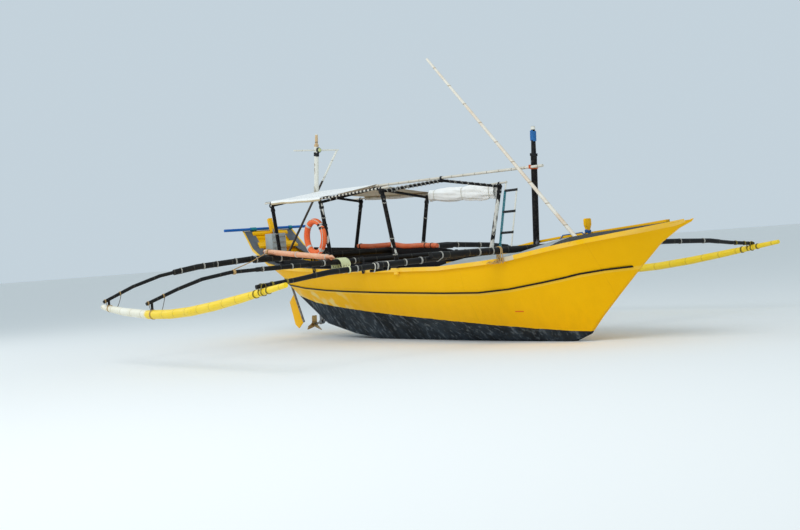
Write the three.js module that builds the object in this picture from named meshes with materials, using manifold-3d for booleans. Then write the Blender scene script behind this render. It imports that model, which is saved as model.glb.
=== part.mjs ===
// Double-outrigger motor canoe, beached on its keel.
// Millimetres. +X points to the bow, +Y to port, +Z up, and z = 0 is the flat of the keel.
import * as THREE from 'three';
import { mergeVertices } from 'three/addons/utils/BufferGeometryUtils.js';
import Module from 'manifold-3d';

const wasm = await Module();
wasm.setup();

// Driving dimensions
const HALF_LENGTH = 5565;
const WALL = 24;
const BOTTOM_WALL = 46;
const SEAT = 0.35;
const SIDES = [['starboard', -1], ['port', 1]];

// Hull stations, aft to fore, outer surface.
// Columns: x, keel z, keel half-width, boot line z and half-width,
// stripe line z and half-width, sheer z and half-width.
const STATIONS = [
  [-5565, 2062, 480, 2070, 492, 2088, 512, 2106, 535],
  [-5160, 1600, 490, 1612, 506, 1670, 548, 1736, 582],
  [-4420, 1240, 470, 1262, 498, 1340, 590, 1422, 682],
  [-3960, 985, 430, 1015, 470, 1165, 640, 1367, 761],
  [-3700, 720, 380, 775, 445, 1010, 665, 1345, 803],
  [-3020, 270, 320, 660, 530, 945, 745, 1303, 867],
  [-2200, 90, 270, 585, 590, 895, 800, 1263, 915],
  [-1450, 0, 250, 525, 625, 865, 835, 1240, 944],
  [-300, 0, 240, 440, 650, 830, 855, 1212, 938],
  [1200, 0, 210, 330, 600, 795, 820, 1195, 896],
  [2000, 0, 170, 275, 490, 785, 770, 1229, 859],
  [2600, 0, 120, 235, 350, 820, 690, 1262, 818],
  [3200, 0, 64, 185, 185, 895, 560, 1338, 752],
  [3540, 110, 30, 235, 100, 945, 460, 1385, 696],
  [3790, 350, 28, 450, 80, 990, 375, 1418, 645],
  [4180, 680, 26, 740, 62, 1050, 262, 1464, 560],
  [4580, 1010, 24, 1030, 44, 1150, 160, 1508, 440],
  [5010, 1350, 22, 1362, 34, 1410, 105, 1556, 302],
  [5350, 1530, 20, 1537, 28, 1562, 66, 1600, 168],
  [5565, 1604, 14, 1609, 18, 1618, 26, 1630, 54],
];

// Each outrigger boom is a straight spar across the hull with a curved arm lashed behind either end.
// Rows of each arm: distance from the centreline, height, radius.
const FLOAT_Y = 4770;
const BOOMS = {
  aft: {
    spar: { half: 2150, z: 1525, radius: 54 },
    x: -2440,
    arm: [[1020, 1526, 50], [2100, 1548, 52], [3160, 1480, 50], [3600, 1418, 48], [3620, 1415, 30],
      [3850, 1380, 30], [4340, 1240, 28], [4860, 1030, 26]],
  },
  mid: {
    spar: { half: 2000, z: 1392, radius: 46 },
    x: -820,
    arm: [[1480, 1387, 40], [2580, 1376, 40], [2950, 1371, 38], [2970, 1370, 31], [3410, 1360, 31],
      [3910, 1290, 30], [4330, 1170, 28], [4860, 985, 26]],
  },
  fore: {
    spar: { half: 2100, z: 1400, radius: 50 },
    x: 2570,
    arm: [[1450, 1382, 44], [2190, 1350, 44], [2970, 1322, 42], [3760, 1286, 39], [3990, 1259, 38],
      [4010, 1256, 34], [4270, 1225, 33], [4860, 1175, 29]],
  },
};
const BOOM_SIDES = 12;
// A round bar's flat faces lie this share of its radius from its centre
const FLAT = Math.cos(Math.PI / BOOM_SIDES);
// Each float's centre line: x, z, radius.
const FLOAT_LINE = [[-2690, 948, 40], [-2440, 922, 52], [-1830, 866, 64], [-970, 822, 68], [-220, 826, 68],
  [440, 862, 68], [1220, 936, 66], [2030, 1034, 58], [2570, 1105, 46], [3170, 1183, 34]];

// Canopy hoops. Each leg runs from the rail up and slightly forward to its shoulder.
const HOOPS = {
  aft: { footX: -3688, foot: 805, x: -3582, shoulder: 985, eave: 2495 },
  mid: { footX: -1715, foot: 950, x: -1664, shoulder: 1138, eave: 2425 },
  fore: { footX: 221, foot: 948, x: 306, shoulder: 1216, eave: 2458 },
};
const POST_R = 35;
const KNUCKLE_R = 42;
const CROWN_R = 24;
const ROOF_POLE_R = 22;
const EAVE_POLE_R = 16;

// Masts and poles
const FORE_MAST = {
  footX: 2446, topX: 2566, topZ: 3215, y: 46, radius: 48, stepZ: 2785, headRadius: 38, tipRadius: 30,
};
const AFT_MAST = {
  footX: -3612, footZ: 2730, topX: -3462, topZ: 3790, radius: 42, stepZ: 3600, tipRadius: 27,
};
const LEAN_POLE = { foot: 3392, footZ: 1564, top: 230, topZ: 4597, radius: 30, tipRadius: 20, touchX: 2270 };
const TOP_POLE_START = -3760;
const TOP_POLE_END = 2800;
const YARD_HALF = 492;
const YARD_Z = 3493;
const YARD_R = 15;

// Running gear
const SHAFT_R = 18;
const SHAFT_HEAD = [-1980, 560];
const PROPELLER = [-4020, 218];
const PROPELLER_R = 170;
const RUDDER_FOOT = [-4400, 260];
const RUDDER_HEAD = [-5440, 2290];
const STOCK_R = 22;
const RUNNING_FIT = 0.8;

const part = new THREE.Group();
part.name = 'outrigger_canoe';

// Materials
const paint = (color, roughness = 0.5, metalness = 0) =>
  new THREE.MeshStandardMaterial({ color, roughness, metalness });
const YELLOW = 0xf2b40c;
const BLACK = 0x1c1c20;
const GREY = 0x5b6066;
const PALE_GREY = 0x9fa6a8;

// Helpers: shapes from sections
function closedGeometry(points, triangles) {
  const geometry = new THREE.BufferGeometry();
  geometry.setAttribute('position', new THREE.Float32BufferAttribute(points.flat(), 3));
  geometry.setIndex(triangles.flat());
  return geometry;
}

// Rings of equal length, each a list of [x, y, z], joined in order and capped at both ends.
function loft(rings) {
  const count = rings[0].length;
  const points = rings.flat();
  const triangles = [];
  for (let r = 0; r + 1 < rings.length; r += 1) {
    for (let i = 0; i < count; i += 1) {
      const a = r * count + i;
      const b = r * count + ((i + 1) % count);
      triangles.push([a, b, b + count], [a, b + count, a + count]);
    }
  }
  const last = (rings.length - 1) * count;
  for (const [a, b, c] of capTriangles(rings[0])) triangles.push([a, c, b]);
  for (const [a, b, c] of capTriangles(rings[rings.length - 1])) triangles.push([last + a, last + b, last + c]);
  const geometry = closedGeometry(points, triangles);
  return volumeOf(geometry) < 0 ? flipped(geometry) : geometry;
}

function capTriangles(ring) {
  const centre = ring.reduce((sum, p) => sum.add(new THREE.Vector3(...p)), new THREE.Vector3());
  centre.divideScalar(ring.length);
  const normal = new THREE.Vector3();
  for (let i = 0; i < ring.length; i += 1) {
    const a = new THREE.Vector3(...ring[i]).sub(centre);
    const b = new THREE.Vector3(...ring[(i + 1) % ring.length]).sub(centre);
    normal.add(a.cross(b));
  }
  normal.normalize();
  const helper = Math.abs(normal.z) > 0.9 ? new THREE.Vector3(1, 0, 0) : new THREE.Vector3(0, 0, 1);
  const u = helper.cross(normal).normalize();
  const v = normal.clone().cross(u);
  const flat = ring.map((p) => {
    const q = new THREE.Vector3(...p).sub(centre);
    return new THREE.Vector2(q.dot(u), q.dot(v));
  });
  return THREE.ShapeUtils.triangulateShape(flat, []);
}

function volumeOf(geometry) {
  const p = geometry.attributes.position;
  const index = geometry.index.array;
  let sum = 0;
  for (let i = 0; i < index.length; i += 3) {
    const [a, b, c] = [index[i], index[i + 1], index[i + 2]].map(
      (k) => new THREE.Vector3(p.getX(k), p.getY(k), p.getZ(k)));
    sum += a.dot(b.cross(c));
  }
  return sum / 6;
}

function flipped(geometry) {
  const index = Array.from(geometry.index.array);
  for (let i = 0; i < index.length; i += 3) [index[i + 1], index[i + 2]] = [index[i + 2], index[i + 1]];
  geometry.setIndex(index);
  return geometry;
}

// A round bar through points [x, y, z, radius], with mitred bends.
function bar(path, sides = 10) {
  const at = path.map((p) => new THREE.Vector3(p[0], p[1], p[2]));
  const tangents = at.map((p, i) => {
    const before = at[Math.max(i - 1, 0)];
    const after = at[Math.min(i + 1, at.length - 1)];
    return after.clone().sub(before).normalize();
  });
  const across = Math.abs(tangents[0].z) > 0.8 ? new THREE.Vector3(1, 0, 0) : new THREE.Vector3(0, 0, 1);
  let side = across.cross(tangents[0]).normalize();
  const rings = at.map((p, i) => {
    side = side.clone().addScaledVector(tangents[i], -side.dot(tangents[i])).normalize();
    const up = tangents[i].clone().cross(side);
    return Array.from({ length: sides }, (_, k) => {
      const angle = (2 * Math.PI * (k + 0.5)) / sides;
      const q = p.clone();
      q.addScaledVector(side, path[i][3] * Math.cos(angle));
      q.addScaledVector(up, path[i][3] * Math.sin(angle));
      return q.toArray();
    });
  });
  return loft(rings);
}

function box(x0, x1, y0, y1, z0, z1) {
  const geometry = new THREE.BoxGeometry(x1 - x0, y1 - y0, z1 - z0);
  geometry.translate((x0 + x1) / 2, (y0 + y1) / 2, (z0 + z1) / 2);
  return geometry;
}

// Helpers: joining and cutting
// Everything under a height that changes along x, as a block wider than the hull
function blockUnder(from, to, top, low = -50) {
  return loft(xsBetween(from, to).map((x) => [[x, -1200, low], [x, 1200, low], [x, 1200, top(x)],
    [x, -1200, top(x)]]));
}

function solid(geometry) {
  const bare = geometry.clone();
  bare.deleteAttribute('normal');
  bare.deleteAttribute('uv');
  const merged = mergeVertices(bare, 1e-3);
  return new wasm.Manifold(new wasm.Mesh({
    numProp: 3,
    vertProperties: new Float32Array(merged.attributes.position.array),
    triVerts: new Uint32Array(merged.index.array),
  }));
}

function meshed(body) {
  const mesh = body.getMesh();
  const geometry = new THREE.BufferGeometry();
  geometry.setAttribute('position', new THREE.BufferAttribute(new Float32Array(mesh.vertProperties), 3));
  geometry.setIndex(new THREE.BufferAttribute(new Uint32Array(mesh.triVerts), 1));
  return geometry;
}

const joined = (...shapes) => meshed(shapes.map(solid).reduce((sum, next) => sum.add(next)));
const cut = (shape, ...tools) => meshed(
  tools.map(solid).reduce((left, tool) => left.subtract(tool), solid(shape)),
);
const shared = (shape, other) => meshed(solid(shape).intersect(solid(other)));
// The largest piece left of a shape once a tool has cut it apart
function largestLeft(shape, ...tools) {
  const pieces = solid(cut(shape, ...tools)).decompose().sort((a, b) => b.volume() - a.volume());
  return meshed(pieces[0]);
}

function add(name, geometry, material) {
  geometry.computeVertexNormals();
  const mesh = new THREE.Mesh(geometry, material);
  mesh.name = name;
  part.add(mesh);
  return mesh;
}

// Hull lines at any x, by straight interpolation between stations
const LINES = { keelZ: 1, keelY: 2, bootZ: 3, bootY: 4, stripeZ: 5, stripeY: 6, sheerZ: 7, sheerY: 8 };
function upperRow(rows, x) {
  const k = rows.findIndex((row) => row[0] >= x);
  return k < 0 ? rows.length - 1 : Math.max(k, 1);
}
function stationAt(x) {
  const k = upperRow(STATIONS, x);
  const [low, high] = [STATIONS[k - 1], STATIONS[k]];
  const t = (x - low[0]) / (high[0] - low[0]);
  return low.map((value, i) => value + t * (high[i] - value));
}
const line = (name, x) => stationAt(x)[LINES[name]];
const xsBetween = (from, to) =>
  [from, ...STATIONS.map((row) => row[0]).filter((x) => x > from + 1 && x < to - 1), to];

// A closed cross-section of the hull, grown outwards by `grow` and with its flat top lifted by `lift`.
function hullRing(x, grow = 0, lift = 0, floor = grow) {
  const [, kz, ky, bz, by, sz, sy, gz, gy] = stationAt(x);
  const half = [[Math.max(ky + grow, 4), kz - floor], [Math.max(by + grow, 5), Math.max(bz, kz - floor + 3)],
    [Math.max(sy + grow, 6), Math.max(sz, kz - floor + 6)], [Math.max(gy + grow, 7), gz]];
  if (lift) half.push([Math.max(gy + grow, 7), gz + lift]);
  const port = half.map(([y, z]) => [x, y, z]);
  const starboard = half.map(([y, z]) => [x, -y, z]).reverse();
  return [...port, ...starboard];
}

const hullSolid = (grow, lift, from, to, floor) =>
  loft(xsBetween(from, to).map((x) => hullRing(x, grow, lift, floor)));

const hullOuter = hullSolid(0, 0, -HALF_LENGTH, HALF_LENGTH);
const hullGrown = hullSolid(SEAT, 60, -HALF_LENGTH - 1, HALF_LENGTH + 1);
const CAVITY = { aft: -5400, fore: 4580, above: 300 };
const cavity = hullSolid(-WALL, CAVITY.above, CAVITY.aft, CAVITY.fore, -BOTTOM_WALL);
const cavityFit = hullSolid(-WALL - SEAT, CAVITY.above, CAVITY.aft + 1, CAVITY.fore - 1, -BOTTOM_WALL - SEAT);

// Shaft line through the hull bottom
const shaftStart = new THREE.Vector3(SHAFT_HEAD[0], 0, SHAFT_HEAD[1]);
const shaftEnd = new THREE.Vector3(PROPELLER[0], 0, PROPELLER[1]);
const alongShaft = (t) => shaftStart.clone().lerp(shaftEnd, t);
const shaftPath = (from, to, radius) => [from, to].map((t) => [...alongShaft(t).toArray(), radius]);
const stockFoot = new THREE.Vector3(RUDDER_FOOT[0], 0, RUDDER_FOOT[1]);
const stockHead = new THREE.Vector3(RUDDER_HEAD[0], 0, RUDDER_HEAD[1]);
const alongStock = (t) => stockFoot.clone().lerp(stockHead, t);
const stockPath = (from, to, radius) => [from, to].map((t) => [...alongStock(t).toArray(), radius]);

// Hull shell, open on top from the stern to well behind the stem
function buildHull() {
  const shaftBore = bar(shaftPath(-0.05, 1, SHAFT_R + 3), 16);
  const stockBore = bar(stockPath(0.2, 1, STOCK_R + 3), 16);
  add('hull_shell', cut(hullOuter, cavity, shaftBore, stockBore), paint(YELLOW, 0.42));
}

// Strips laid on the hull's outside: a band between two heights, cut back to the hull's surface
function sideBand(side, xs, lowOf, highOf, proud) {
  const rings = xs.map((x) => {
    const [y0, z0] = lowOf(x);
    const [y1, z1] = highOf(x);
    return [[x, side * (y0 - 12), z0], [x, side * (y0 + proud), z0],
      [x, side * (y1 + proud), z1], [x, side * (y1 - 12), z1]];
  });
  return largestLeft(loft(rings), hullGrown);
}

// Half-width of the hull's side at a height, along the station's lines
function sideY(x, z) {
  const [, kz, ky, bz, by, sz, sy, gz, gy] = stationAt(x);
  const rows = [[kz, ky], [bz, by], [sz, sy], [gz, gy]];
  return table(rows, THREE.MathUtils.clamp(z, kz, gz));
}

const RAIL_LOW = 42;
const RAIL_HIGH = 20;
const STRIPE_HALF = 12;
// Forward of the last full section the stripe runs nearly level to the stem. Rows: x, z.
const STRIPE_TO_STEM = [[3790, 990], [4180, 1030], [4550, 1052]];
const stripeHeight = (x) => (x > STRIPE_TO_STEM[0][0] ? table(STRIPE_TO_STEM, x) : line('stripeZ', x));
function buildStrips() {
  const railLow = (x) => Math.max(line('sheerZ', x) - RAIL_LOW, line('stripeZ', x));
  const [first, last] = [STRIPE_TO_STEM[0][0], STRIPE_TO_STEM.at(-1)[0]];
  const stripeXs = xsBetween(-3900, first);
  while (stripeXs.at(-1) < last) stripeXs.push(Math.min(stripeXs.at(-1) + 60, last));
  for (const [name, side] of SIDES) {
    add(`rub_rail_${name}`, sideBand(side, xsBetween(-HALF_LENGTH, HALF_LENGTH - 40),
      (x) => [sideY(x, railLow(x)), railLow(x)],
      (x) => [line('sheerY', x), line('sheerZ', x) + RAIL_HIGH], 34), paint(YELLOW, 0.38));
    add(`stripe_batten_${name}`, sideBand(side, stripeXs,
      (x) => [sideY(x, stripeHeight(x) - STRIPE_HALF), stripeHeight(x) - STRIPE_HALF],
      (x) => [sideY(x, stripeHeight(x) + STRIPE_HALF), stripeHeight(x) + STRIPE_HALF], 12), paint(BLACK, 0.5));
  }
}

// Spars seat in shallow notches of what they lie on
const innerArmRadius = (arm) => Math.max(...arm.slice(0, 2).map((row) => row[2]));
const sparX = ({ x, spar, arm }) => x + (spar.radius + innerArmRadius(arm)) * FLAT + SEAT;
const sparBar = (boom, grow = 0) => {
  const { half, z, radius } = boom.spar;
  return bar([-half, half].map((y) => [sparX(boom), y, z, radius + grow]), BOOM_SIDES);
};

// Decks. Side deck width: x, width.
const DECK_T = 18;
const DECK_WIDTH = [[-5540, 205], [-5160, 215], [-4420, 235], [-3700, 235], [-1450, 215], [1180, 215]];
const FOREDECK_FROM = 1200;
const FOREDECK_TO = 5330;
const CAMBER = [[1200, 112], [2000, 92], [2440, 80], [2720, 62], [2960, 128], [3200, 142], [3540, 136],
  [3790, 118], [4180, 90], [4580, 66], [5010, 40], [5350, 14]];
function table(rows, x) {
  const k = upperRow(rows, x);
  const t = (x - rows[k - 1][0]) / (rows[k][0] - rows[k - 1][0]);
  return rows[k - 1][1] + t * (rows[k][1] - rows[k - 1][1]);
}
const deckTop = (x) => line('sheerZ', x) + SEAT + DECK_T;

function buildDecks() {
  const notch = bar(stockPath(0.2, 1, STOCK_R + 10), 16);
  for (const [name, side] of SIDES) {
    const rings = xsBetween(-5540, 1180).map((x) => {
      const outer = line('sheerY', x);
      const inner = outer - table(DECK_WIDTH, x);
      const z = line('sheerZ', x) + SEAT;
      const edges = [[inner, z], [outer, z], [outer, z + DECK_T], [inner, z + DECK_T]];
      return edges.map(([y, height]) => [x, side * y, height]);
    });
    add(`side_deck_${name}`, cut(loft(rings), notch), paint(GREY, 0.7));
  }
  const xs = [...new Set([...xsBetween(FOREDECK_FROM, FOREDECK_TO), ...CAMBER.map((row) => row[0])])]
    .filter((x) => x <= FOREDECK_TO).sort((a, b) => a - b);
  const rings = xs.map((x) => {
    const half = line('sheerY', x);
    const z = line('sheerZ', x) + SEAT;
    const arch = [-1, -0.75, -0.4, 0, 0.4, 0.75, 1].map((f) => [f * half, z + table(CAMBER, x) * (1 - f * f)]);
    return [...arch.map(([y, h]) => [x, y, h + DECK_T]), ...arch.reverse().map(([y, h]) => [x, y, h])];
  });
  add('foredeck', cut(loft(rings), sparBar(BOOMS.fore, SEAT)), paint(PALE_GREY, 0.7));
}

// The middle of the foredeck from just above its top down, for feet that stand on it
function deckTopBlock(from, to) {
  const xs = [...new Set([...xsBetween(from, to), ...CAMBER.map((row) => row[0])])]
    .filter((x) => x >= from && x <= to).sort((a, b) => a - b);
  return loft(xs.map((x) => {
    const z = line('sheerZ', x) + DECK_T + 2 * SEAT;
    const arch = [-0.4, 0, 0.4].map((f) => [f * line('sheerY', x), z + table(CAMBER, x) * (1 - f * f)]);
    return [...arch.map(([y, h]) => [x, y, h]), [x, arch[2][0], 1000], [x, arch[0][0], 1000]];
  }));
}

// Washboards stand on the inner part of the side decks and rise in saddles under the spars. Rows: x, top z.
const WASHBOARD_T = 26;
const WASHBOARD_IN = 188;
const ROLL_R = 46;
const WASHBOARD_TOP = {
  starboard: [[-4600, 1656], [-3980, 1575], [-3385, 1496], [-2810, 1428], [-2440, 1404], [-2410, 1478],
    [-2250, 1478], [-2230, 1400], [-1450, 1376], [-960, 1350], [-300, 1338], [1178, 1338]],
  port: [[-4600, 1690], [-4200, 1662], [-3310, 1612], [-2900, 1588], [-2410, 1540], [-1900, 1540],
    [-1450, 1531], [-1008, 1511], [-583, 1457], [-313, 1377], [-241, 1338], [1178, 1338]],
};
const washboardY = (x) => line('sheerY', x) - WASHBOARD_IN;
function washboardBody(name, side, grow = 0) {
  const xs = [...new Set([...xsBetween(-4600 - grow, 1178), ...WASHBOARD_TOP[name].map((row) => row[0])])]
    .sort((a, b) => a - b);
  return loft(xs.map((x) => {
    const inner = side * (washboardY(x) - grow);
    const outer = side * (washboardY(x) + WASHBOARD_T + grow);
    const low = deckTop(x) + SEAT;
    const high = table(WASHBOARD_TOP[name], x) + grow;
    return [[x, inner, low], [x, outer, low], [x, outer, high], [x, inner, high]];
  }));
}
function buildWashboards() {
  const notches = [BOOMS.aft, BOOMS.mid].map((boom) => sparBar(boom, SEAT));
  for (const [name, side] of SIDES) {
    add(`washboard_${name}`, largestLeft(washboardBody(name, side), ...notches), paint(BLACK, 0.7));
  }
}

// Inside: bulkheads, floor, thwart, stern seat and helm box
const FLOOR_Z = 430;
const FLOOR_FROM = -2380;
const AFT_BULKHEAD = [-3330, -3305];
const FORE_BULKHEAD = [1215, 1240];
function buildInside() {
  const underDecks = (x) => line('sheerZ', x) - SEAT;
  add('bulkhead_aft', shared(blockUnder(...AFT_BULKHEAD, underDecks), cavityFit), paint(YELLOW, 0.6));
  add('bulkhead_fore', shared(blockUnder(...FORE_BULKHEAD, underDecks), cavityFit), paint(YELLOW, 0.6));
  const boards = box(FLOOR_FROM, FORE_BULKHEAD[0] - SEAT, -700, 700, FLOOR_Z, FLOOR_Z + 20);
  add('floor_boards', shared(boards, cavityFit), paint(0x8a7a62, 0.8));
}

const ENGINE = { x: [-1880, -1230], y: 190, top: 900 };
const COVER = { x: [-1990, -1060], y: 330, top: 1350, wall: 18 };
function buildEngine() {
  const [x0, x1] = ENGINE.x;
  const engine = box(x0, x1, -ENGINE.y, ENGINE.y, FLOOR_Z + 20 + SEAT, ENGINE.top);
  add('engine_block', engine, paint(0x4c5a4e, 0.6, 0.3));
  const [c0, c1] = COVER.x;
  const low = FLOOR_Z + 20 + SEAT;
  const shell = box(c0, c1, -COVER.y, COVER.y, low, COVER.top);
  const inside = box(c0 + COVER.wall, c1 - COVER.wall, -COVER.y + COVER.wall, COVER.y - COVER.wall,
    low - 10, COVER.top - COVER.wall);
  const slot = box(c0 - 10, c0 + COVER.wall + 10, -60, 60, low - 10, 690);
  add('engine_cover', cut(shell, inside, slot), paint(PALE_GREY, 0.7));
}

function buildRunningGear() {
  add('propeller_shaft', bar(shaftPath(-0.045, 0.99, SHAFT_R), 16), paint(0x8c8f92, 0.35, 0.9));
  const axis = shaftEnd.clone().sub(shaftStart).normalize();
  const hub = new THREE.CylinderGeometry(46, 46, 110, 20);
  const blade = new THREE.BoxGeometry(12, 96, PROPELLER_R - 30, 1, 1, 4);
  const blades = [0, 1, 2].map((k) => {
    const shape = blade.clone();
    shape.translate(0, 0, 30 + (PROPELLER_R - 30) / 2);
    const p = shape.attributes.position;
    for (let i = 0; i < p.count; i += 1) {
      const radius = p.getZ(i);
      const twist = THREE.MathUtils.degToRad(62 - 30 * ((radius - 30) / (PROPELLER_R - 30)));
      const [x, y] = [p.getX(i), p.getY(i)];
      p.setXY(i, x * Math.cos(twist) - y * Math.sin(twist), x * Math.sin(twist) + y * Math.cos(twist));
    }
    shape.rotateY((2 * Math.PI * k) / 3);
    return shape;
  });
  const screw = joined(hub, ...blades);
  screw.applyQuaternion(new THREE.Quaternion().setFromUnitVectors(new THREE.Vector3(0, 1, 0), axis));
  const centre = alongShaft(1);
  screw.translate(centre.x, centre.y, centre.z);
  const bore = bar(shaftPath(0.9, 0.9902, SHAFT_R + SEAT), 16);
  add('propeller', cut(screw, bore), paint(0xa8894e, 0.35, 0.9));

  // Bracket: a bearing on the shaft under a plate that hangs from the hull bottom
  const bearing = bar(shaftPath(0.84, 0.89, 42), 20);
  const bore2 = bar(shaftPath(0.8, 0.93, SHAFT_R + RUNNING_FIT), 16);
  const at = alongShaft(0.865);
  const plate = box(at.x - 60, at.x + 60, -9, 9, at.z, at.z + 900);
  const foot = box(at.x - 110, at.x + 110, -50, 50, at.z, at.z + 900);
  const below = solid(hullGrown);
  const skin = solid(hullSolid(16, 60, -HALF_LENGTH - 1, HALF_LENGTH + 1));
  const pad = solid(foot).intersect(skin).subtract(below);
  const strut = solid(plate).subtract(below).add(solid(bearing)).add(pad).subtract(solid(bore2));
  add('shaft_bracket', meshed(strut), paint(0x55585c, 0.5, 0.8));
}

// Corners of the blade: distance up the stock, distance aft of it
const BLADE = [[10, 0], [-20, 230], [100, 300], [560, 240], [620, 0]];
const BLADE_HALF = 12;
const TILLER_HEAD = [[-5345, 2046], [-5440, 2325]];
const TILLER_HEAD_R = 54;
function buildRudder() {
  const up = stockHead.clone().sub(stockFoot).normalize();
  const aft = new THREE.Vector3(-up.z, 0, up.x);
  const corner = ([u, v], y) => (
    stockFoot.clone().addScaledVector(up, u).addScaledVector(aft, v).setY(y).toArray()
  );
  const plate = loft([-BLADE_HALF, BLADE_HALF].map((y) => BLADE.map((at) => corner(at, y))));
  const groove = bar(stockPath(-0.1, 1, STOCK_R + SEAT), 16);
  add('rudder_stock', bar(stockPath(0, 0.985, STOCK_R), 16), paint(0x55585c, 0.5, 0.8));
  add('rudder_blade', cut(plate, groove), paint(YELLOW, 0.5));
  const post = bar(TILLER_HEAD.map(([x, z]) => [x, 0, z, TILLER_HEAD_R]), 4);
  add('tiller_head', cut(post, bar(stockPath(0.5, 0.9853, STOCK_R + SEAT), 16)), paint(YELLOW, 0.5));
}

// Outriggers
function floatHeight(x) {
  return table(FLOAT_LINE, x);
}
const floatRadius = (x) => table(FLOAT_LINE.map(([at, , r]) => [at, r]), x);
function armAt({ arm }, y) {
  return [table(arm, y), table(arm.map(([at, , r]) => [at, r]), y)];
}
const floatBar = (side, grow = 0) =>
  bar(FLOAT_LINE.map(([x, z, r]) => [x, side * FLOAT_Y, z, r + grow]), 14);
const armBar = (boom, side, grow = 0) => (
  bar(boom.arm.map(([y, z, r]) => [boom.x, side * y, z, r + grow]), BOOM_SIDES)
);
const POST_UNDER_ARM = 20;
function buildOutriggers() {
  for (const [name, boom] of Object.entries(BOOMS)) {
    add(`spar_${name}`, sparBar(boom), paint(BLACK, 0.55));
    for (const [sideName, side] of SIDES) {
      const arm = armBar(boom, side);
      if (name === 'fore') {
        add(`arm_${name}_${sideName}`, cut(arm, floatBar(side, SEAT)), paint(BLACK, 0.55));
        continue;
      }
      const [z] = armAt(boom, FLOAT_Y);
      const post = bar([[boom.x, side * FLOAT_Y, floatHeight(boom.x), POST_UNDER_ARM],
        [boom.x, side * FLOAT_Y, z, POST_UNDER_ARM]], 10);
      add(`arm_${name}_${sideName}`, cut(joined(arm, post), floatBar(side, SEAT)), paint(BLACK, 0.55));
    }
  }
  for (const [name, side] of SIDES) add(`float_${name}`, floatBar(side), paint(YELLOW, 0.5));
}

// Canopy
const ridgeZ = (x) => THREE.MathUtils.mapLinear(x, TOP_POLE_START, TOP_POLE_END, 2698, 2604);
const ridgeY = (x) => THREE.MathUtils.mapLinear(x, -1660, 2527, 0, -24);
const ridgeLine = (x) => [x, ridgeY(x), ridgeZ(x)];
const aftMastX = (z) => (
  THREE.MathUtils.mapLinear(z, AFT_MAST.footZ, AFT_MAST.topZ, AFT_MAST.footX, AFT_MAST.topX)
);
// Feet of the hoops and of the ladder stand on the deck's edge and on the rub rail's top
const underFeet = () => blockUnder(-5540, 1180, (x) => line('sheerZ', x) + RAIL_HIGH + SEAT);
const legAt = (hoop, z) => {
  const foot = line('sheerZ', hoop.footX) + RAIL_HIGH;
  const t = (z - foot) / (hoop.eave - foot);
  return [THREE.MathUtils.lerp(hoop.footX, hoop.x, t), THREE.MathUtils.lerp(hoop.foot, hoop.shoulder, t)];
};
// A leg grown by the seating gap, to cut what lies against it
const legBar = (hoop, side, heights) => bar(heights.map((z) => {
  const [x, y] = legAt(hoop, z);
  return [x, side * y, z, POST_R + SEAT];
}), BOOM_SIDES);
function buildCanopy() {
  const belowFeet = underFeet();
  for (const [name, hoop] of Object.entries(HOOPS)) {
    const low = line('sheerZ', hoop.footX) - 40;
    const [lowX, lowY] = legAt(hoop, low);
    const leg = (side) => cut(bar([[lowX, side * lowY, low, POST_R],
      [hoop.x, side * hoop.shoulder, hoop.eave, POST_R]], BOOM_SIDES), belowFeet);
    const apex = ridgeZ(hoop.x) - (ROOF_POLE_R + CROWN_R) * FLAT - SEAT;
    const over = bar([[hoop.x, -hoop.shoulder, hoop.eave, CROWN_R], [hoop.x, ridgeY(hoop.x), apex, CROWN_R],
      [hoop.x, hoop.shoulder, hoop.eave, CROWN_R]], BOOM_SIDES);
    const knuckle = (side) => {
      const ball = new THREE.SphereGeometry(KNUCKLE_R, 12, 8);
      ball.translate(hoop.x, side * hoop.shoulder, hoop.eave);
      return ball;
    };
    add(`hoop_${name}`, joined(leg(-1), leg(1), over, knuckle(-1), knuckle(1)), paint(BLACK, 0.5));
  }
  const ends = [TOP_POLE_START, TOP_POLE_END];
  const ridge = bar(ends.map((x) => [...ridgeLine(x), ROOF_POLE_R]), BOOM_SIDES);
  add('ridge_pole', cut(ridge, mastTrunk(SEAT)), paint(0xc9b694, 0.7));
  for (const [name, side] of SIDES) add(`eave_pole_${name}`, eaveBar(side), paint(0xb9b4a6, 0.8));
}

const EAVE_PAST = { aft: 250, fore: 190 };
function eaveBar(side, grow = 0) {
  const path = Object.values(HOOPS).map((hoop) => [hoop.x, side * hoop.shoulder,
    hoop.eave + KNUCKLE_R + SEAT + EAVE_POLE_R, EAVE_POLE_R + grow]);
  const [first, , last] = path;
  const aftEnd = [first[0] - EAVE_PAST.aft, first[1], first[2], first[3]];
  return bar([aftEnd, ...path, [last[0] + EAVE_PAST.fore, last[1], last[2], last[3]]]);
}

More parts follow.
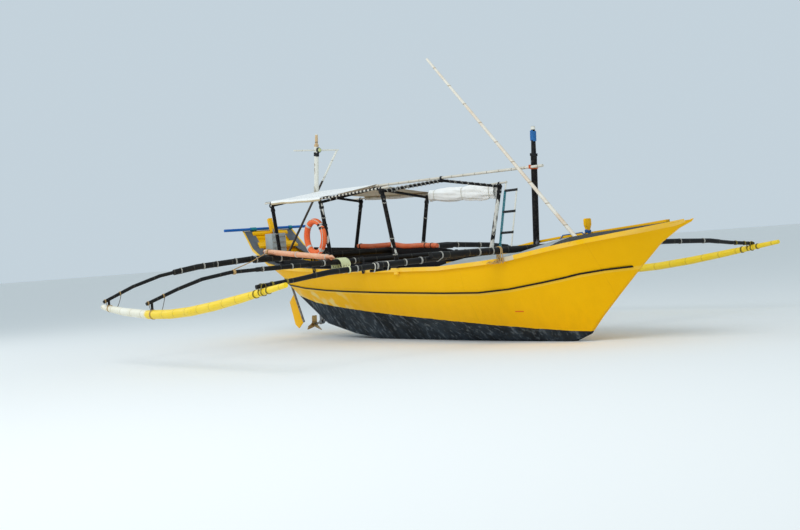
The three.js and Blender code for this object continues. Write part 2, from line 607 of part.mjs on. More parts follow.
const TARP_T = 9;
const TARP_FROM = -3530;
const TARP_TO = -1590;
const TARP_HANG = 70;
function buildTarps() {
  const rings = [TARP_FROM, -2600, TARP_TO].map((x) => {
    const t = (x - HOOPS.aft.x) / (HOOPS.mid.x - HOOPS.aft.x);
    const outer = THREE.MathUtils.lerp(HOOPS.aft.shoulder, HOOPS.mid.shoulder, t) + POST_R + 6;
    const eave = THREE.MathUtils.lerp(HOOPS.aft.eave, HOOPS.mid.eave, t) + KNUCKLE_R + 2 * EAVE_POLE_R + 3;
    const top = ridgeZ(x) + ROOF_POLE_R * FLAT + SEAT;
    const crest = [ridgeY(x) - ROOF_POLE_R - 2, ridgeY(x) + ROOF_POLE_R + 2];
    const hem = eave - TARP_HANG;
    const under = [
      [-outer, hem], [-outer, eave], [crest[0], top], [crest[1], top], [outer, eave], [outer, hem],
    ];
    const over = [[-outer - TARP_T, hem], [-outer - TARP_T, eave + TARP_T], [crest[0], top + TARP_T],
      [crest[1], top + TARP_T], [outer + TARP_T, eave + TARP_T], [outer + TARP_T, hem]];
    return [...under.map(([y, z]) => [x, y, z]), ...over.reverse().map(([y, z]) => [x, y, z])];
  });
  add('roof_tarp', loft(rings), paint(0xe9e6dc, 0.8));

  // Tarp gathered round the port eave pole between the middle and fore hoops. Rows: x, top z, low z.
  const gathered = [[-1575, 2560, 2330], [-1100, 2562, 2290], [-500, 2556, 2262], [0, 2545, 2240],
    [190, 2535, 2236]];
  const roll = gathered.map(([x, high, low]) => {
    const t = (x - HOOPS.mid.x) / (HOOPS.fore.x - HOOPS.mid.x);
    const y = THREE.MathUtils.lerp(HOOPS.mid.shoulder, HOOPS.fore.shoulder, t);
    const middle = (high + low) / 2;
    return [[x, y - 38, high - 24], [x, y - 12, high], [x, y + 16, high], [x, y + 42, high - 24],
      [x, y + 62, middle], [x, y + 44, low + 24], [x, y, low], [x, y - 44, low + 24], [x, y - 62, middle]];
  });
  add('gathered_tarp', cut(loft(roll), eaveBar(1, SEAT)), paint(0xdcd6c4, 0.8));
}

// Masts and poles
function mastTrunk(grow = 0) {
  const { footX, topX, topZ, y, radius, stepZ, headRadius, tipRadius } = FORE_MAST;
  const deck = line('sheerZ', footX) + table(CAMBER, footX) + DECK_T;
  const rows = [[deck - 60, radius], [stepZ, radius], [stepZ + 15, headRadius], [topZ, tipRadius]];
  return bar(rows.map(([z, r]) => [THREE.MathUtils.mapLinear(z, deck, topZ, footX, topX), y, z, r + grow]), 14);
}
function buildMasts() {
  add('fore_mast', cut(mastTrunk(), deckTopBlock(2200, 2700)), paint(BLACK, 0.45));

  const mastY = ridgeY(AFT_MAST.footX);
  const { stepZ: head } = AFT_MAST;
  const low = AFT_MAST.footZ - 30;
  const post = bar([[aftMastX(low), mastY, low, AFT_MAST.radius],
    [aftMastX(head - 12), mastY, head - 12, AFT_MAST.radius], [aftMastX(head), mastY, head, AFT_MAST.tipRadius],
    [AFT_MAST.topX, mastY, AFT_MAST.topZ, AFT_MAST.tipRadius - 4]], BOOM_SIDES);
  const ridgeEnds = [TOP_POLE_START, TOP_POLE_END];
  const ridge = bar(ridgeEnds.map((x) => [...ridgeLine(x), ROOF_POLE_R + SEAT]), BOOM_SIDES);
  add('aft_mast', cut(joined(post, yardBar()), ridge), paint(0xe8e6df, 0.6));

  const slope = (LEAN_POLE.topZ - LEAN_POLE.footZ) / (LEAN_POLE.top - LEAN_POLE.foot);
  const lowX = LEAN_POLE.foot + 150;
  const lowZ = LEAN_POLE.footZ + slope * (lowX - LEAN_POLE.foot);
  const poleY = ridgeY(LEAN_POLE.touchX) - ROOF_POLE_R - LEAN_POLE.radius - SEAT;
  const pole = bar([
    [lowX, poleY, lowZ, LEAN_POLE.radius],
    [LEAN_POLE.top, poleY, LEAN_POLE.topZ, LEAN_POLE.tipRadius],
  ]);
  add('leaning_pole', cut(pole, deckTopBlock(3000, 3780)), paint(0xd9c7a6, 0.7));
}
const yardBar = (grow = 0) => {
  const mastY = ridgeY(AFT_MAST.footX);
  return bar([-YARD_HALF, YARD_HALF].map((y) => [aftMastX(YARD_Z), mastY + y, YARD_Z, YARD_R + grow]));
};

// Stern: cross bars over the well, helm box, pole laid across the rails
const BARS = { fore: [-5232, -5132], aft: [-5475, -5435] };
const BAR_T = 44;
const BAR_SHORT = 150;
const HELM_BOX = { x: [-5030, -4770], y: [-360, -50], top: 2012 };
const STERN_POLE = { x: -5536, radius: 28, y: [-975, 890] };
function buildStern() {
  const bearing = bar(stockPath(0.6, 1, STOCK_R + RUNNING_FIT), 16);
  for (const [name, [x0, x1]] of Object.entries(BARS)) {
    const rings = xsBetween(x0, x1).map((x) => {
      const half = line('sheerY', x) - BAR_SHORT;
      const z = deckTop(x) + SEAT;
      return [[x, -half, z], [x, half, z], [x, half, z + BAR_T], [x, -half, z + BAR_T]];
    });
    add(`stern_bar_${name}`, cut(loft(rings), bearing), paint(YELLOW, 0.6));
  }
  const wall = cut(hullOuter, cavityFit);
  const crate = box(...HELM_BOX.x, ...HELM_BOX.y, 1200, HELM_BOX.top);
  add('helm_box', largestLeft(crate, wall), paint(PALE_GREY, 0.7));
  const { x, radius, y } = STERN_POLE;
  const slope = (line('sheerZ', x - 20) - line('sheerZ', x + 20)) / 40;
  const z = line('sheerZ', x) + RAIL_HIGH + (radius + SEAT) * Math.hypot(1, slope);
  add('stern_pole', bar([[x, y[0], z, radius], [x, y[1], z, radius]], BOOM_SIDES), paint(0x2f6fb8, 0.5));
}

// Brace from the aft mast's yard down to the stern well
const BRACE = { foot: [-4460, -408], radius: 24, topRadius: 19, fromTip: 30 };
function buildBrace() {
  const [x, y] = BRACE.foot;
  const floorZ = line('keelZ', x) + BOTTOM_WALL - 20;
  const tip = ridgeY(AFT_MAST.footX) + YARD_HALF - BRACE.fromTip;
  const pole = bar([[x, y, floorZ, BRACE.radius], [aftMastX(YARD_Z), tip, YARD_Z, BRACE.topRadius]]);
  const wall = cut(hullOuter, cavityFit);
  add('mast_brace', largestLeft(pole, wall, yardBar(SEAT)), paint(0x2a2a2c, 0.6));
}

const LAMP_R = 52;
const LAMP_Z = 3486;
function buildLamp() {
  const z = LAMP_Z;
  const x = aftMastX(z);
  const y = ridgeY(AFT_MAST.footX);
  const ball = new THREE.SphereGeometry(LAMP_R, 16, 12);
  ball.translate(x + AFT_MAST.radius + LAMP_R - 14, y, z);
  const mast = bar([z - 100, z + 100].map((at) => [aftMastX(at), y, at, AFT_MAST.radius + SEAT]), BOOM_SIDES);
  add('mast_lamp', cut(ball, mast, yardBar(SEAT)), paint(0xcfd2d0, 0.4));
}

const LADDER = {
  x: [458, 755], radius: 14, rung: 22, foot: 1180, rungs: [1670, 2018, 2372], tops: [2540, 2398],
};
// The ladder stands on the port rail, and its aft rail's top meets the end of the eave pole
function buildLadder() {
  const at = (x, z) => [x, legAt(HOOPS.fore, z)[1], z];
  const rails = LADDER.x.map((x, k) => (
    bar([[...at(x, LADDER.foot), LADDER.radius], [...at(x, LADDER.tops[k]), LADDER.radius]])
  ));
  const rungs = LADDER.rungs.map((z) => bar(LADDER.x.map((x) => [...at(x, z), LADDER.rung]), 8));
  add('ladder', largestLeft(joined(...rails, ...rungs), underFeet(), eaveBar(1, SEAT)), paint(0xd8dcdb, 0.5));
}

// The life ring hangs against the outboard side of the middle hoop's starboard leg
const RING = { x: -1936, z: 1843, outer: 325, tube: 52, offset: 81 };
function buildRing() {
  const [, legY] = legAt(HOOPS.mid, RING.z);
  const ring = new THREE.TorusGeometry(RING.outer - RING.tube, RING.tube, 12, 32);
  ring.rotateX(Math.PI / 2);
  ring.translate(RING.x, -(legY + RING.offset), RING.z);
  add('life_ring', cut(ring, legBar(HOOPS.mid, -1, [RING.z - 400, RING.z + 400])), paint(0xf0622a, 0.6));
}

// Foam rolls: the port one is slipped over the washboard's top edge and the aft spar, the starboard one lies
// outboard across the aft and middle booms.
const ROLL_SEAT = 34;
const PORT_ROLL_XS = [-3310, -2900, -2400, -2270, -1900, -1450, -975];
const STARBOARD_ROLL = [[-2590, -1752, 1652], [-2440, -1740, 1638], [-820, -1612, 1483], [-745, -1606, 1476]];
function buildRolls() {
  const orange = paint(0xe8784a, 0.8);
  const overSpar = BOOMS.aft.spar.z + (BOOMS.aft.spar.radius + ROLL_R) * FLAT + 2 * SEAT;
  const portRoll = bar(PORT_ROLL_XS.map((x) => {
    const z = table(WASHBOARD_TOP.port, x) + ROLL_SEAT;
    const lifted = Math.abs(x - sparX(BOOMS.aft)) < 70 ? Math.max(z, overSpar) : z;
    return [x, washboardY(x) + WASHBOARD_T / 2, lifted, ROLL_R];
  }), BOOM_SIDES);
  const besidePort = [washboardBody('port', 1, SEAT), sparBar(BOOMS.aft, SEAT)];
  add('foam_roll_port', largestLeft(portRoll, ...besidePort), orange);
  const acrossBooms = bar(STARBOARD_ROLL.map((at) => [...at, ROLL_R]), BOOM_SIDES);
  const under = [sparBar(BOOMS.aft, SEAT), sparBar(BOOMS.mid, SEAT), armBar(BOOMS.aft, -1, SEAT)];
  add('foam_roll_starboard', largestLeft(acrossBooms, ...under), orange);
}

const BOLLARD = { x: 3630, post: 26, head: 58, neck: 50, top: 222, thick: 44 };
function buildBollard() {
  const deck = (x) => line('sheerZ', x) + SEAT + table(CAMBER, x) + DECK_T;
  const z = deck(BOLLARD.x);
  const shape = new THREE.Shape();
  shape.moveTo(-BOLLARD.post, -60);
  shape.lineTo(BOLLARD.post, -60);
  shape.lineTo(BOLLARD.post, BOLLARD.neck);
  shape.lineTo(BOLLARD.head, 130);
  shape.lineTo(BOLLARD.head, BOLLARD.top - 14);
  shape.lineTo(BOLLARD.head - 14, BOLLARD.top);
  shape.lineTo(14 - BOLLARD.head, BOLLARD.top);
  shape.lineTo(-BOLLARD.head, BOLLARD.top - 14);
  shape.lineTo(-BOLLARD.head, 130);
  shape.lineTo(-BOLLARD.post, BOLLARD.neck);
  shape.closePath();
  const post = new THREE.ExtrudeGeometry(shape, { depth: BOLLARD.thick, bevelEnabled: false });
  post.rotateX(Math.PI / 2);
  post.rotateZ(Math.PI / 2);
  post.translate(BOLLARD.x - BOLLARD.thick / 2, 0, z);
  add('bollard', cut(post, deckTopBlock(3500, 3760)), paint(YELLOW, 0.5));
}

// Plank laid along the foredeck over the fore spar, on blocks. Rows: x, top z, centre y.
const KING_PLANK = [[1560, 1404, 136], [1900, 1440, 136], [2250, 1484, 136], [2500, 1506, 136],
  [2870, 1534, 136], [3160, 1551, 130], [3580, 1570, 118], [3950, 1590, 105], [4550, 1622, 78],
  [4810, 1637, 62], [5130, 1658, 42]];
const PLANK_T = 34;
const PLANK_HALF = 36;
const PLANK_BLOCKS = [1600, 3250, 4200, 5090];
function buildKingPlank() {
  const rings = KING_PLANK.map(([x, z, y]) => [
    [x, y - PLANK_HALF, z - PLANK_T], [x, y + PLANK_HALF, z - PLANK_T],
    [x, y + PLANK_HALF, z], [x, y - PLANK_HALF, z],
  ]);
  const blocks = PLANK_BLOCKS.map((x) => {
    const y = table(KING_PLANK.map((row) => [row[0], row[2]]), x);
    return box(x - 30, x + 30, y - 28, y + 28, 1200, table(KING_PLANK, x) - 4);
  });
  const feet = [deckTopBlock(1400, 5340), sparBar(BOOMS.fore, SEAT)];
  const underPlank = cut(joined(loft(rings), ...blocks), ...feet);
  add('king_plank', underPlank, paint(YELLOW, 0.5));
}

const THWARTS = { aft: [-2190, -2040], fore: [-40, 110] };
function buildThwarts() {
  for (const [name, [x0, x1]] of Object.entries(THWARTS)) {
    const rings = [x0, x1].map((x) => {
      const half = washboardY(x) - 1;
      const z = deckTop(x) + SEAT;
      return [[x, -half, z], [x, half, z], [x, half, z + 26], [x, -half, z + 26]];
    });
    add(`thwart_${name}`, loft(rings), paint(YELLOW, 0.6));
  }
}

buildHull();
buildStrips();
buildDecks();
buildWashboards();
buildInside();
buildEngine();
buildRunningGear();
buildRudder();
buildOutriggers();
buildCanopy();
buildTarps();
buildMasts();
buildBrace();
buildLamp();
buildStern();
buildThwarts();
buildLadder();
buildRing();
buildRolls();
buildBollard();
buildKingPlank();

export default part;
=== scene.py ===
"""Outrigger canoe: brushed enamel, bamboo, rope, foam and canvas round the solid parts of the boat.

Units are metres in the boat's own frame: +X to the bow, +Y to port, +Z up, floor at z = 0.
"""

import math

import bpy
from bpy.props import FloatProperty, FloatVectorProperty, IntProperty, PointerProperty
from mathutils import Matrix, Vector, noise


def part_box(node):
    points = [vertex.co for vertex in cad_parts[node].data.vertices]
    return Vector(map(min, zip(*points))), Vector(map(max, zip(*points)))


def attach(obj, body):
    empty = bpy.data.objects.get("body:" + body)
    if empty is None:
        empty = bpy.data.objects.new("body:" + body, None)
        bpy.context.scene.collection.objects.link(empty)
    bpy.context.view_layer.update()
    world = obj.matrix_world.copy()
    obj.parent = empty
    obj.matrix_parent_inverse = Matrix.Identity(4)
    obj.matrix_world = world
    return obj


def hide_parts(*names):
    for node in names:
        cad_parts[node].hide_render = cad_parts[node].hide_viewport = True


bl_info = {
    "name": "Outrigger Canoe",
    "version": (1, 0, 0),
    "blender": (4, 5, 0),
    "location": "3D View > Sidebar > Canoe",
    "description": "Dresses an outrigger canoe with paint, bamboo, rope, foam and canvas",
    "category": "Add Mesh",
}

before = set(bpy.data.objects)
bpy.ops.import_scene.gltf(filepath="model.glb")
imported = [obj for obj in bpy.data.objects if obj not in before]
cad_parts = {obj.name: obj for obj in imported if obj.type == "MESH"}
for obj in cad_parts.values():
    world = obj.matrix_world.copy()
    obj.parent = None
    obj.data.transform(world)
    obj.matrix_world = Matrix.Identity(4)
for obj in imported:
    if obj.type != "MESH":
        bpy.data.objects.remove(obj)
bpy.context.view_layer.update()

# Places taken over from the solid parts

# Each outrigger boom is a straight spar with an arm lashed behind either end.
# Spar: x, height, radius, half-length. Arm rows: distance from the centreline, height, radius.
BOOMS = {
    "aft": {
        "x": -2.440,
        "spar": (-2.3373, 1.525, 0.054, 2.15),
        "arm": ((1.02, 1.526, 0.050), (2.10, 1.548, 0.052), (3.16, 1.480, 0.050), (3.60, 1.418, 0.048),
                (3.62, 1.415, 0.030), (3.85, 1.380, 0.030), (4.34, 1.240, 0.028), (4.86, 1.030, 0.026)),
    },
    "mid": {
        "x": -0.820,
        "spar": (-0.7366, 1.392, 0.046, 2.00),
        "arm": ((1.48, 1.387, 0.040), (2.58, 1.376, 0.040), (2.95, 1.371, 0.038), (2.97, 1.370, 0.031),
                (3.41, 1.360, 0.031), (3.91, 1.290, 0.030), (4.33, 1.170, 0.028), (4.86, 0.985, 0.026)),
    },
    "fore": {
        "x": 2.570,
        "spar": (2.6612, 1.400, 0.050, 2.10),
        "arm": ((1.45, 1.382, 0.044), (2.19, 1.350, 0.044), (2.97, 1.322, 0.042), (3.76, 1.286, 0.039),
                (3.99, 1.259, 0.038), (4.01, 1.256, 0.034), (4.27, 1.225, 0.033), (4.86, 1.175, 0.029)),
    },
}
# Floats: distance from the centreline, and rows of x, height and radius
FLOAT_Y = 4.77
FLOAT_LINE = ((-2.69, 0.948, 0.040), (-2.44, 0.922, 0.052), (-1.83, 0.866, 0.064), (-0.97, 0.822, 0.068),
              (-0.22, 0.826, 0.068), (0.44, 0.862, 0.068), (1.22, 0.936, 0.066), (2.03, 1.034, 0.058),
              (2.57, 1.105, 0.046), (3.17, 1.183, 0.034))
# Canopy hoops: x and half-width at the rail, x, half-width and height at the shoulder
HOOPS = {
    "aft": (-3.688, 0.805, -3.582, 0.985, 2.495),
    "mid": (-1.715, 0.950, -1.664, 1.138, 2.425),
    "fore": (0.221, 0.948, 0.306, 1.216, 2.458),
}
POST_RADIUS = 0.035
CROWN_RADIUS = 0.024
KNUCKLE_RADIUS = 0.042
EAVE_RADIUS = 0.016
# Ridge pole: x of its ends, height of its aft end and fall to its fore end.
# It crosses the centreline at one x, and shifts to starboard by 24 mm over a run of 4.187 m.
RIDGE_RADIUS = 0.022
RIDGE_ENDS = (-3.760, 2.800)
RIDGE_HEIGHT, RIDGE_FALL = 2.698, 0.094
RIDGE_CROSSING = -1.66
RIDGE_SHIFT, RIDGE_RUN = 0.024, 4.187
# Masts: x and height of the foot and the head of the part that is dressed, and the fore mast's y
FORE_MAST = (2.446, 1.351), (2.566, 3.215)
FORE_MAST_Y = 0.046
AFT_MAST = (-3.612, 2.730), (-3.462, 3.790)
MAST_RADIUS = {"fore": 0.048, "fore_top": 0.033, "aft": 0.042}
TARP_ENDS = (-3.530, -1.590)
# Rub rail: its top above the sheer, its lower edge below it, and how far it stands out
RAIL_HIGH = 0.020
RAIL_LOW = 0.044
RAIL_PROUD = 0.034
# The sheer, in rows of x, height and half-width
SHEER = ((-5.565, 2.106, 0.535), (-5.16, 1.736, 0.582), (-4.42, 1.422, 0.682), (-3.96, 1.367, 0.761),
         (-3.7, 1.345, 0.803), (-3.02, 1.303, 0.867), (-2.2, 1.263, 0.915), (-1.45, 1.240, 0.944),
         (-0.3, 1.212, 0.938), (1.2, 1.195, 0.896), (2.0, 1.229, 0.859), (2.6, 1.262, 0.818),
         (3.2, 1.338, 0.752), (3.54, 1.385, 0.696), (3.79, 1.418, 0.645), (4.18, 1.464, 0.560),
         (4.58, 1.508, 0.440), (5.01, 1.556, 0.302), (5.35, 1.600, 0.168), (5.565, 1.630, 0.054))
# Foam rolls: radius, and the centre line of each as x, y, z
ROLL_RADIUS = 0.046
ROLLS = {
    "starboard": ((-2.59, -1.752, 1.652), (-2.44, -1.74, 1.638), (-0.82, -1.612, 1.483),
                  (-0.745, -1.606, 1.476)),
    "port": ((-3.31, 0.664, 1.646), (-2.9, 0.699, 1.622), (-2.4, 0.728, 1.6223), (-2.27, 0.736, 1.6223),
             (-1.9, 0.752, 1.574), (-1.45, 0.769, 1.565), (-0.975, 0.767, 1.5408)),
}
# Life ring: its centre, the radius of its middle circle, and of its tube
RING_CENTRE = Vector((-1.936, -1.1244, 1.843))
RING_RADIUS = 0.273
RING_TUBE = 0.052
LADDER_RAILS = (0.458, 0.755)
LADDER_RUNGS = (1.670, 2.018, 2.372)
RUNG_RADIUS = 0.0225

SIDES = (("starboard", -1), ("port", 1))
ALONG, ACROSS, UP = (1, 0, 0), (0, 1, 0), (0, 0, 1)

# The photograph's viewpoint, solved in the boat's frame: 1300 pixels of focal length on 800 pixels of width
PHOTO_EYE = (17.219, -12.981, 1.522)
PHOTO_FORWARD = (-0.8153, 0.57891, -0.01199)
PHOTO_UP = (0.03315, 0.06735, 0.99718)
SENSOR_WIDTH = 36
PHOTO_LENS = SENSOR_WIDTH * 1300 / 800


def linear(hex_colour):
    """An sRGB hex colour as linear RGBA."""
    parts = [int(hex_colour[i : i + 2], 16) / 255 for i in (1, 3, 5)]
    return (*(p / 12.92 if p <= 0.04045 else ((p + 0.055) / 1.055) ** 2.4 for p in parts), 1.0)


def colour(name, hex_colour, description):
    """A colour property whose default is an sRGB hex value."""
    return FloatVectorProperty(
        name=name, description=description, subtype="COLOR", size=4, min=0, max=1, default=linear(hex_colour)
    )


def length(name, metres, description):
    """A length property in metres."""
    return FloatProperty(
        name=name, description=description, default=metres, min=0.0005, max=5, unit="LENGTH", subtype="DISTANCE"
    )


class CanoeColours(bpy.types.PropertyGroup):
    """Colours of the boat's finishes."""

    hull_yellow: colour("Hull yellow", "#f6b800", "Enamel on the hull's sides")
    # Brighter than the hull's yellow: partly the rails' own enamel, partly a painted highlight.
    rail_yellow_and_highlight: colour("Rail yellow", "#ffc606", "Fresher enamel on the rub rails")
    bottom_black: colour("Bottom black", "#23272b", "Weathered bottom paint")
    scuff_grey: colour("Scuff grey", "#4d5a66", "Sand scuffs and dried weed on the bottom")
    line_black: colour("Line black", "#0e0d10", "Painted line, washboards and dark poles")
    deck_grey: colour("Deck grey", "#565b61", "Side decks")
    deck_pale: colour("Pale grey", "#a3a9a8", "Foredeck and boxes")
    bamboo: colour("Bamboo", "#dfdace", "Bare, sun-bleached bamboo")
    bone_white: colour("Bone white", "#e9e6da", "White paint on poles")
    canvas: colour("Canvas", "#fdfcf8", "Outer side of the tarpaulins")
    # The inner tan is partly its own colour and partly painted light, lightened as if light came through the sheet.
    canvas_inside_and_painted_light: colour("Canvas inside", "#c9b285", "Inner side of the tarpaulins")
    float_yellow: colour("Float yellow", "#fbd400", "Enamel on the floats")
    foam_orange: colour("Foam orange", "#f0602a", "Unfaded foam and life ring")
    foam_faded: colour("Faded foam", "#ee9b78", "Foam bleached by the sun")
    rope_white: colour("White rope", "#e4e0d0", "Cord of the white ties")
    rope_tan: colour("Tan rope", "#cfa86a", "Hemp lashings")
    rope_teal: colour("Teal rope", "#1c8f9e", "Ladder wrapping and its lines")
    rope_blue: colour("Blue rope", "#1f63a8", "Mooring line")
    pipe_blue: colour("Blue pipe", "#1d5fae", "Pipe laid across the stern")


class CanoeSizes(bpy.types.PropertyGroup):
    """Sizes of what is tied, wrapped and laid on the boat."""

    tie_cord: length("Tie cord", 0.007, "Diameter of the cord round the booms")
    lashing_cord: length("Lashing cord", 0.014, "Diameter of the rope that holds booms to the hull")
    thin_cord: length("Thin cord", 0.008, "Diameter of wrapping on posts and eaves")
    mooring_rope: length("Mooring rope", 0.016, "Diameter of the mooring line")
    tie_turns: IntProperty(name="Tie turns", description="Turns in each boom tie", default=3, min=1, max=9)


# Building blocks


def at(rows, x):
    """The values of a table at x, by straight interpolation; the first column is x."""
    k = next((i for i, row in enumerate(rows) if row[0] >= x), len(rows) - 1)
    low, high = rows[max(k - 1, 0)], rows[max(k, 1)]
    t = (x - low[0]) / (high[0] - low[0])
    return [a + t * (b - a) for a, b in zip(low[1:], high[1:])]


def select_only(*objects):
    """Leaves edit mode and selects nothing but the objects."""
    if bpy.context.object and bpy.context.object.mode != "OBJECT":
        bpy.ops.object.mode_set(mode="OBJECT")
    bpy.ops.object.select_all(action="DESELECT")
    for obj in objects:
        obj.select_set(True)
    if objects:
        bpy.context.view_layer.objects.active = objects[0]


def settle(name, finish, slot, *parts, body="boat", stands_for=()):
    """Joins the parts to one named piece with its place in its mesh, and gives it its finish and body. The slot is
    not used.
    """
    select_only(*parts)
    if len(parts) > 1:
        bpy.ops.object.join()
    obj = bpy.context.object
    bpy.ops.object.transform_apply(location=True, rotation=True, scale=True)
    obj.name = obj.data.name = name
    obj.data.materials.clear()
    obj.data.materials.append(FINISH[finish])
    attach(obj, body)
    if stands_for:
        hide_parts(*stands_for)
    return obj


def rounded(points, spacing):
    """A smooth line through the points, in steps of about the spacing."""
    p = [Vector(q) for q in points]
    ends = [2 * p[0] - p[1], *p, 2 * p[-1] - p[-2]]
    line = []
    for a, b, c, d in zip(ends, ends[1:], ends[2:], ends[3:]):
        steps = max(1, round((c - b).length / spacing))
        for k in range(steps):
            t = k / steps
            line.append(0.5 * (2 * b + (c - a) * t + (2 * a - 5 * b + 4 * c - d) * t**2
                               + (3 * b - a - 3 * c + d) * t**3))
    return [*line, p[-1]]


def rod(points, radius, sides=8, closed=False, radii=None):
    """A round rod or rope along the points: a curve with a round section, turned to a mesh."""
    select_only()
    bpy.ops.curve.primitive_nurbs_path_add()
    obj = bpy.context.object
    curve = obj.data
    curve.splines.clear()
    spline = curve.splines.new("POLY")
    spline.points.add(len(points) - 1)
    for k, point in enumerate(points):
        spline.points[k].co = (*point, 1)
        spline.points[k].radius = radii[k] / radius if radii else 1
    spline.use_cyclic_u = closed
    curve.dimensions = "3D"
    curve.twist_mode = "MINIMUM"
    curve.bevel_depth = radius
    curve.bevel_resolution = (sides - 4) // 2
    curve.use_fill_caps = True
    select_only(obj)
    bpy.ops.object.convert(target="MESH")
    bpy.ops.object.shade_smooth_by_angle(angle=math.radians(50))
    return bpy.context.object


def wrap(poles, axis, cord, turns, pitch=None, steps=14):
    """Cord wound tightly round a pole or a bundle of them. Poles: a point on each centre line, and the radius."""
    along = Vector(axis).normalized()
    over = along.orthogonal().normalized()
    across = over.cross(along)
    origin = Vector(poles[0][0])
    circles = [((Vector(p) - origin).dot(across), (Vector(p) - origin).dot(over), r) for p, r in poles]
    # Turns lie a little closer than the cord is thick, and the cord beds a little into what it holds
    pitch = pitch or cord * 0.96
    bedded = cord * 0.42
    path = []
    for k in range(round(turns * steps) + 1):
        angle = 2 * math.pi * k / steps
        look = Vector((math.cos(angle), math.sin(angle)))
        a, b, r = max(circles, key=lambda c: c[0] * look.x + c[1] * look.y + c[2])
        reach = r + bedded
        shift = (k / steps - turns / 2) * pitch
        path.append(origin + across * (a + reach * look.x) + over * (b + reach * look.y) + along * shift)
    return rod(path, cord / 2, 6)


def block(low, high, bevel):
    """A sawn wooden block with its edges eased."""
    select_only()
    centre = [(a + b) / 2 for a, b in zip(low, high)]
    bpy.ops.mesh.primitive_cube_add(size=1, location=centre)
    obj = bpy.context.object
    bpy.ops.object.mode_set(mode="EDIT")
    bpy.ops.transform.resize(value=[b - a for a, b in zip(low, high)])
    bpy.ops.mesh.select_all(action="SELECT")
    bpy.ops.mesh.bevel(offset=bevel, segments=2, affect="EDGES")
    bpy.ops.object.mode_set(mode="OBJECT")
    bpy.ops.object.shade_smooth_by_angle(angle=math.radians(40))
    return obj


def thicken(obj, depth, lined):
    """Gives a single sheet its thickness. The new lower side of a lined sheet is marked as not outer."""
    select_only(obj)
    wall = obj.modifiers.new("Thickness", "SOLIDIFY")
    wall.thickness = depth
    wall.offset = 1.0
    bpy.ops.object.modifier_apply(modifier="Thickness")
    outer = obj.data.attributes.new("outer_face", "FLOAT", "FACE").data
    for face, mark in zip(obj.data.polygons, outer):
        mark.value = 0.0 if lined and face.normal.z <= 0 else 1.0
    bpy.ops.object.shade_smooth()


def boom_poles(boom, side, distance):
    """The poles that make up a boom at a distance from the centreline: centre and radius of each."""
    poles = []
    if distance > boom["arm"][0][0]:
        height, radius = at(boom["arm"], distance)
        poles.append((Vector((boom["x"], side * distance, height)), radius))
    x, height, radius, half = boom["spar"]
    if distance < half:
        poles.append((Vector((x, side * distance, height)), radius))
    return poles


def hoop_point(hoop, side, height):
    """A point on a hoop's leg at a height."""
    foot_x, foot, x, shoulder, top = HOOPS[hoop]
    deck = at(SHEER, foot_x)[0] + RAIL_HIGH
    share = (height - deck) / (top - deck)
    return Vector((foot_x + (x - foot_x) * share, side * (foot + (shoulder - foot) * share), height))


def ridge_point(x):
    """The ridge pole's centre line."""
    share = (x - RIDGE_ENDS[0]) / (RIDGE_ENDS[1] - RIDGE_ENDS[0])
    return Vector((x, -RIDGE_SHIFT * (x - RIDGE_CROSSING) / RIDGE_RUN, RIDGE_HEIGHT - RIDGE_FALL * share))


def crown_point(x):
    """The middle of a hoop's crown, right under the ridge pole."""
    return ridge_point(x) - Vector((0, 0, RIDGE_RADIUS + CROWN_RADIUS))


def mast_point(mast, y, z):
    """A mast's centre line at a height."""
    (foot_x, foot_z), (head_x, head_z) = mast
    return Vector((foot_x + (head_x - foot_x) * (z - foot_z) / (head_z - foot_z), y, z))


def top_of(x, y, *names):
    """Height of the highest of the named solid parts under a point."""
    heights = []
    for name in names:
        found, place, _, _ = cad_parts[name].ray_cast(Vector((x, y, 4.0)), Vector((0, 0, -1)))
        if found:
            heights.append(place.z)
    return max(heights)


# Finishes


def palette():
    """The colours set in the sidebar."""
    return bpy.context.scene.canoe_colours


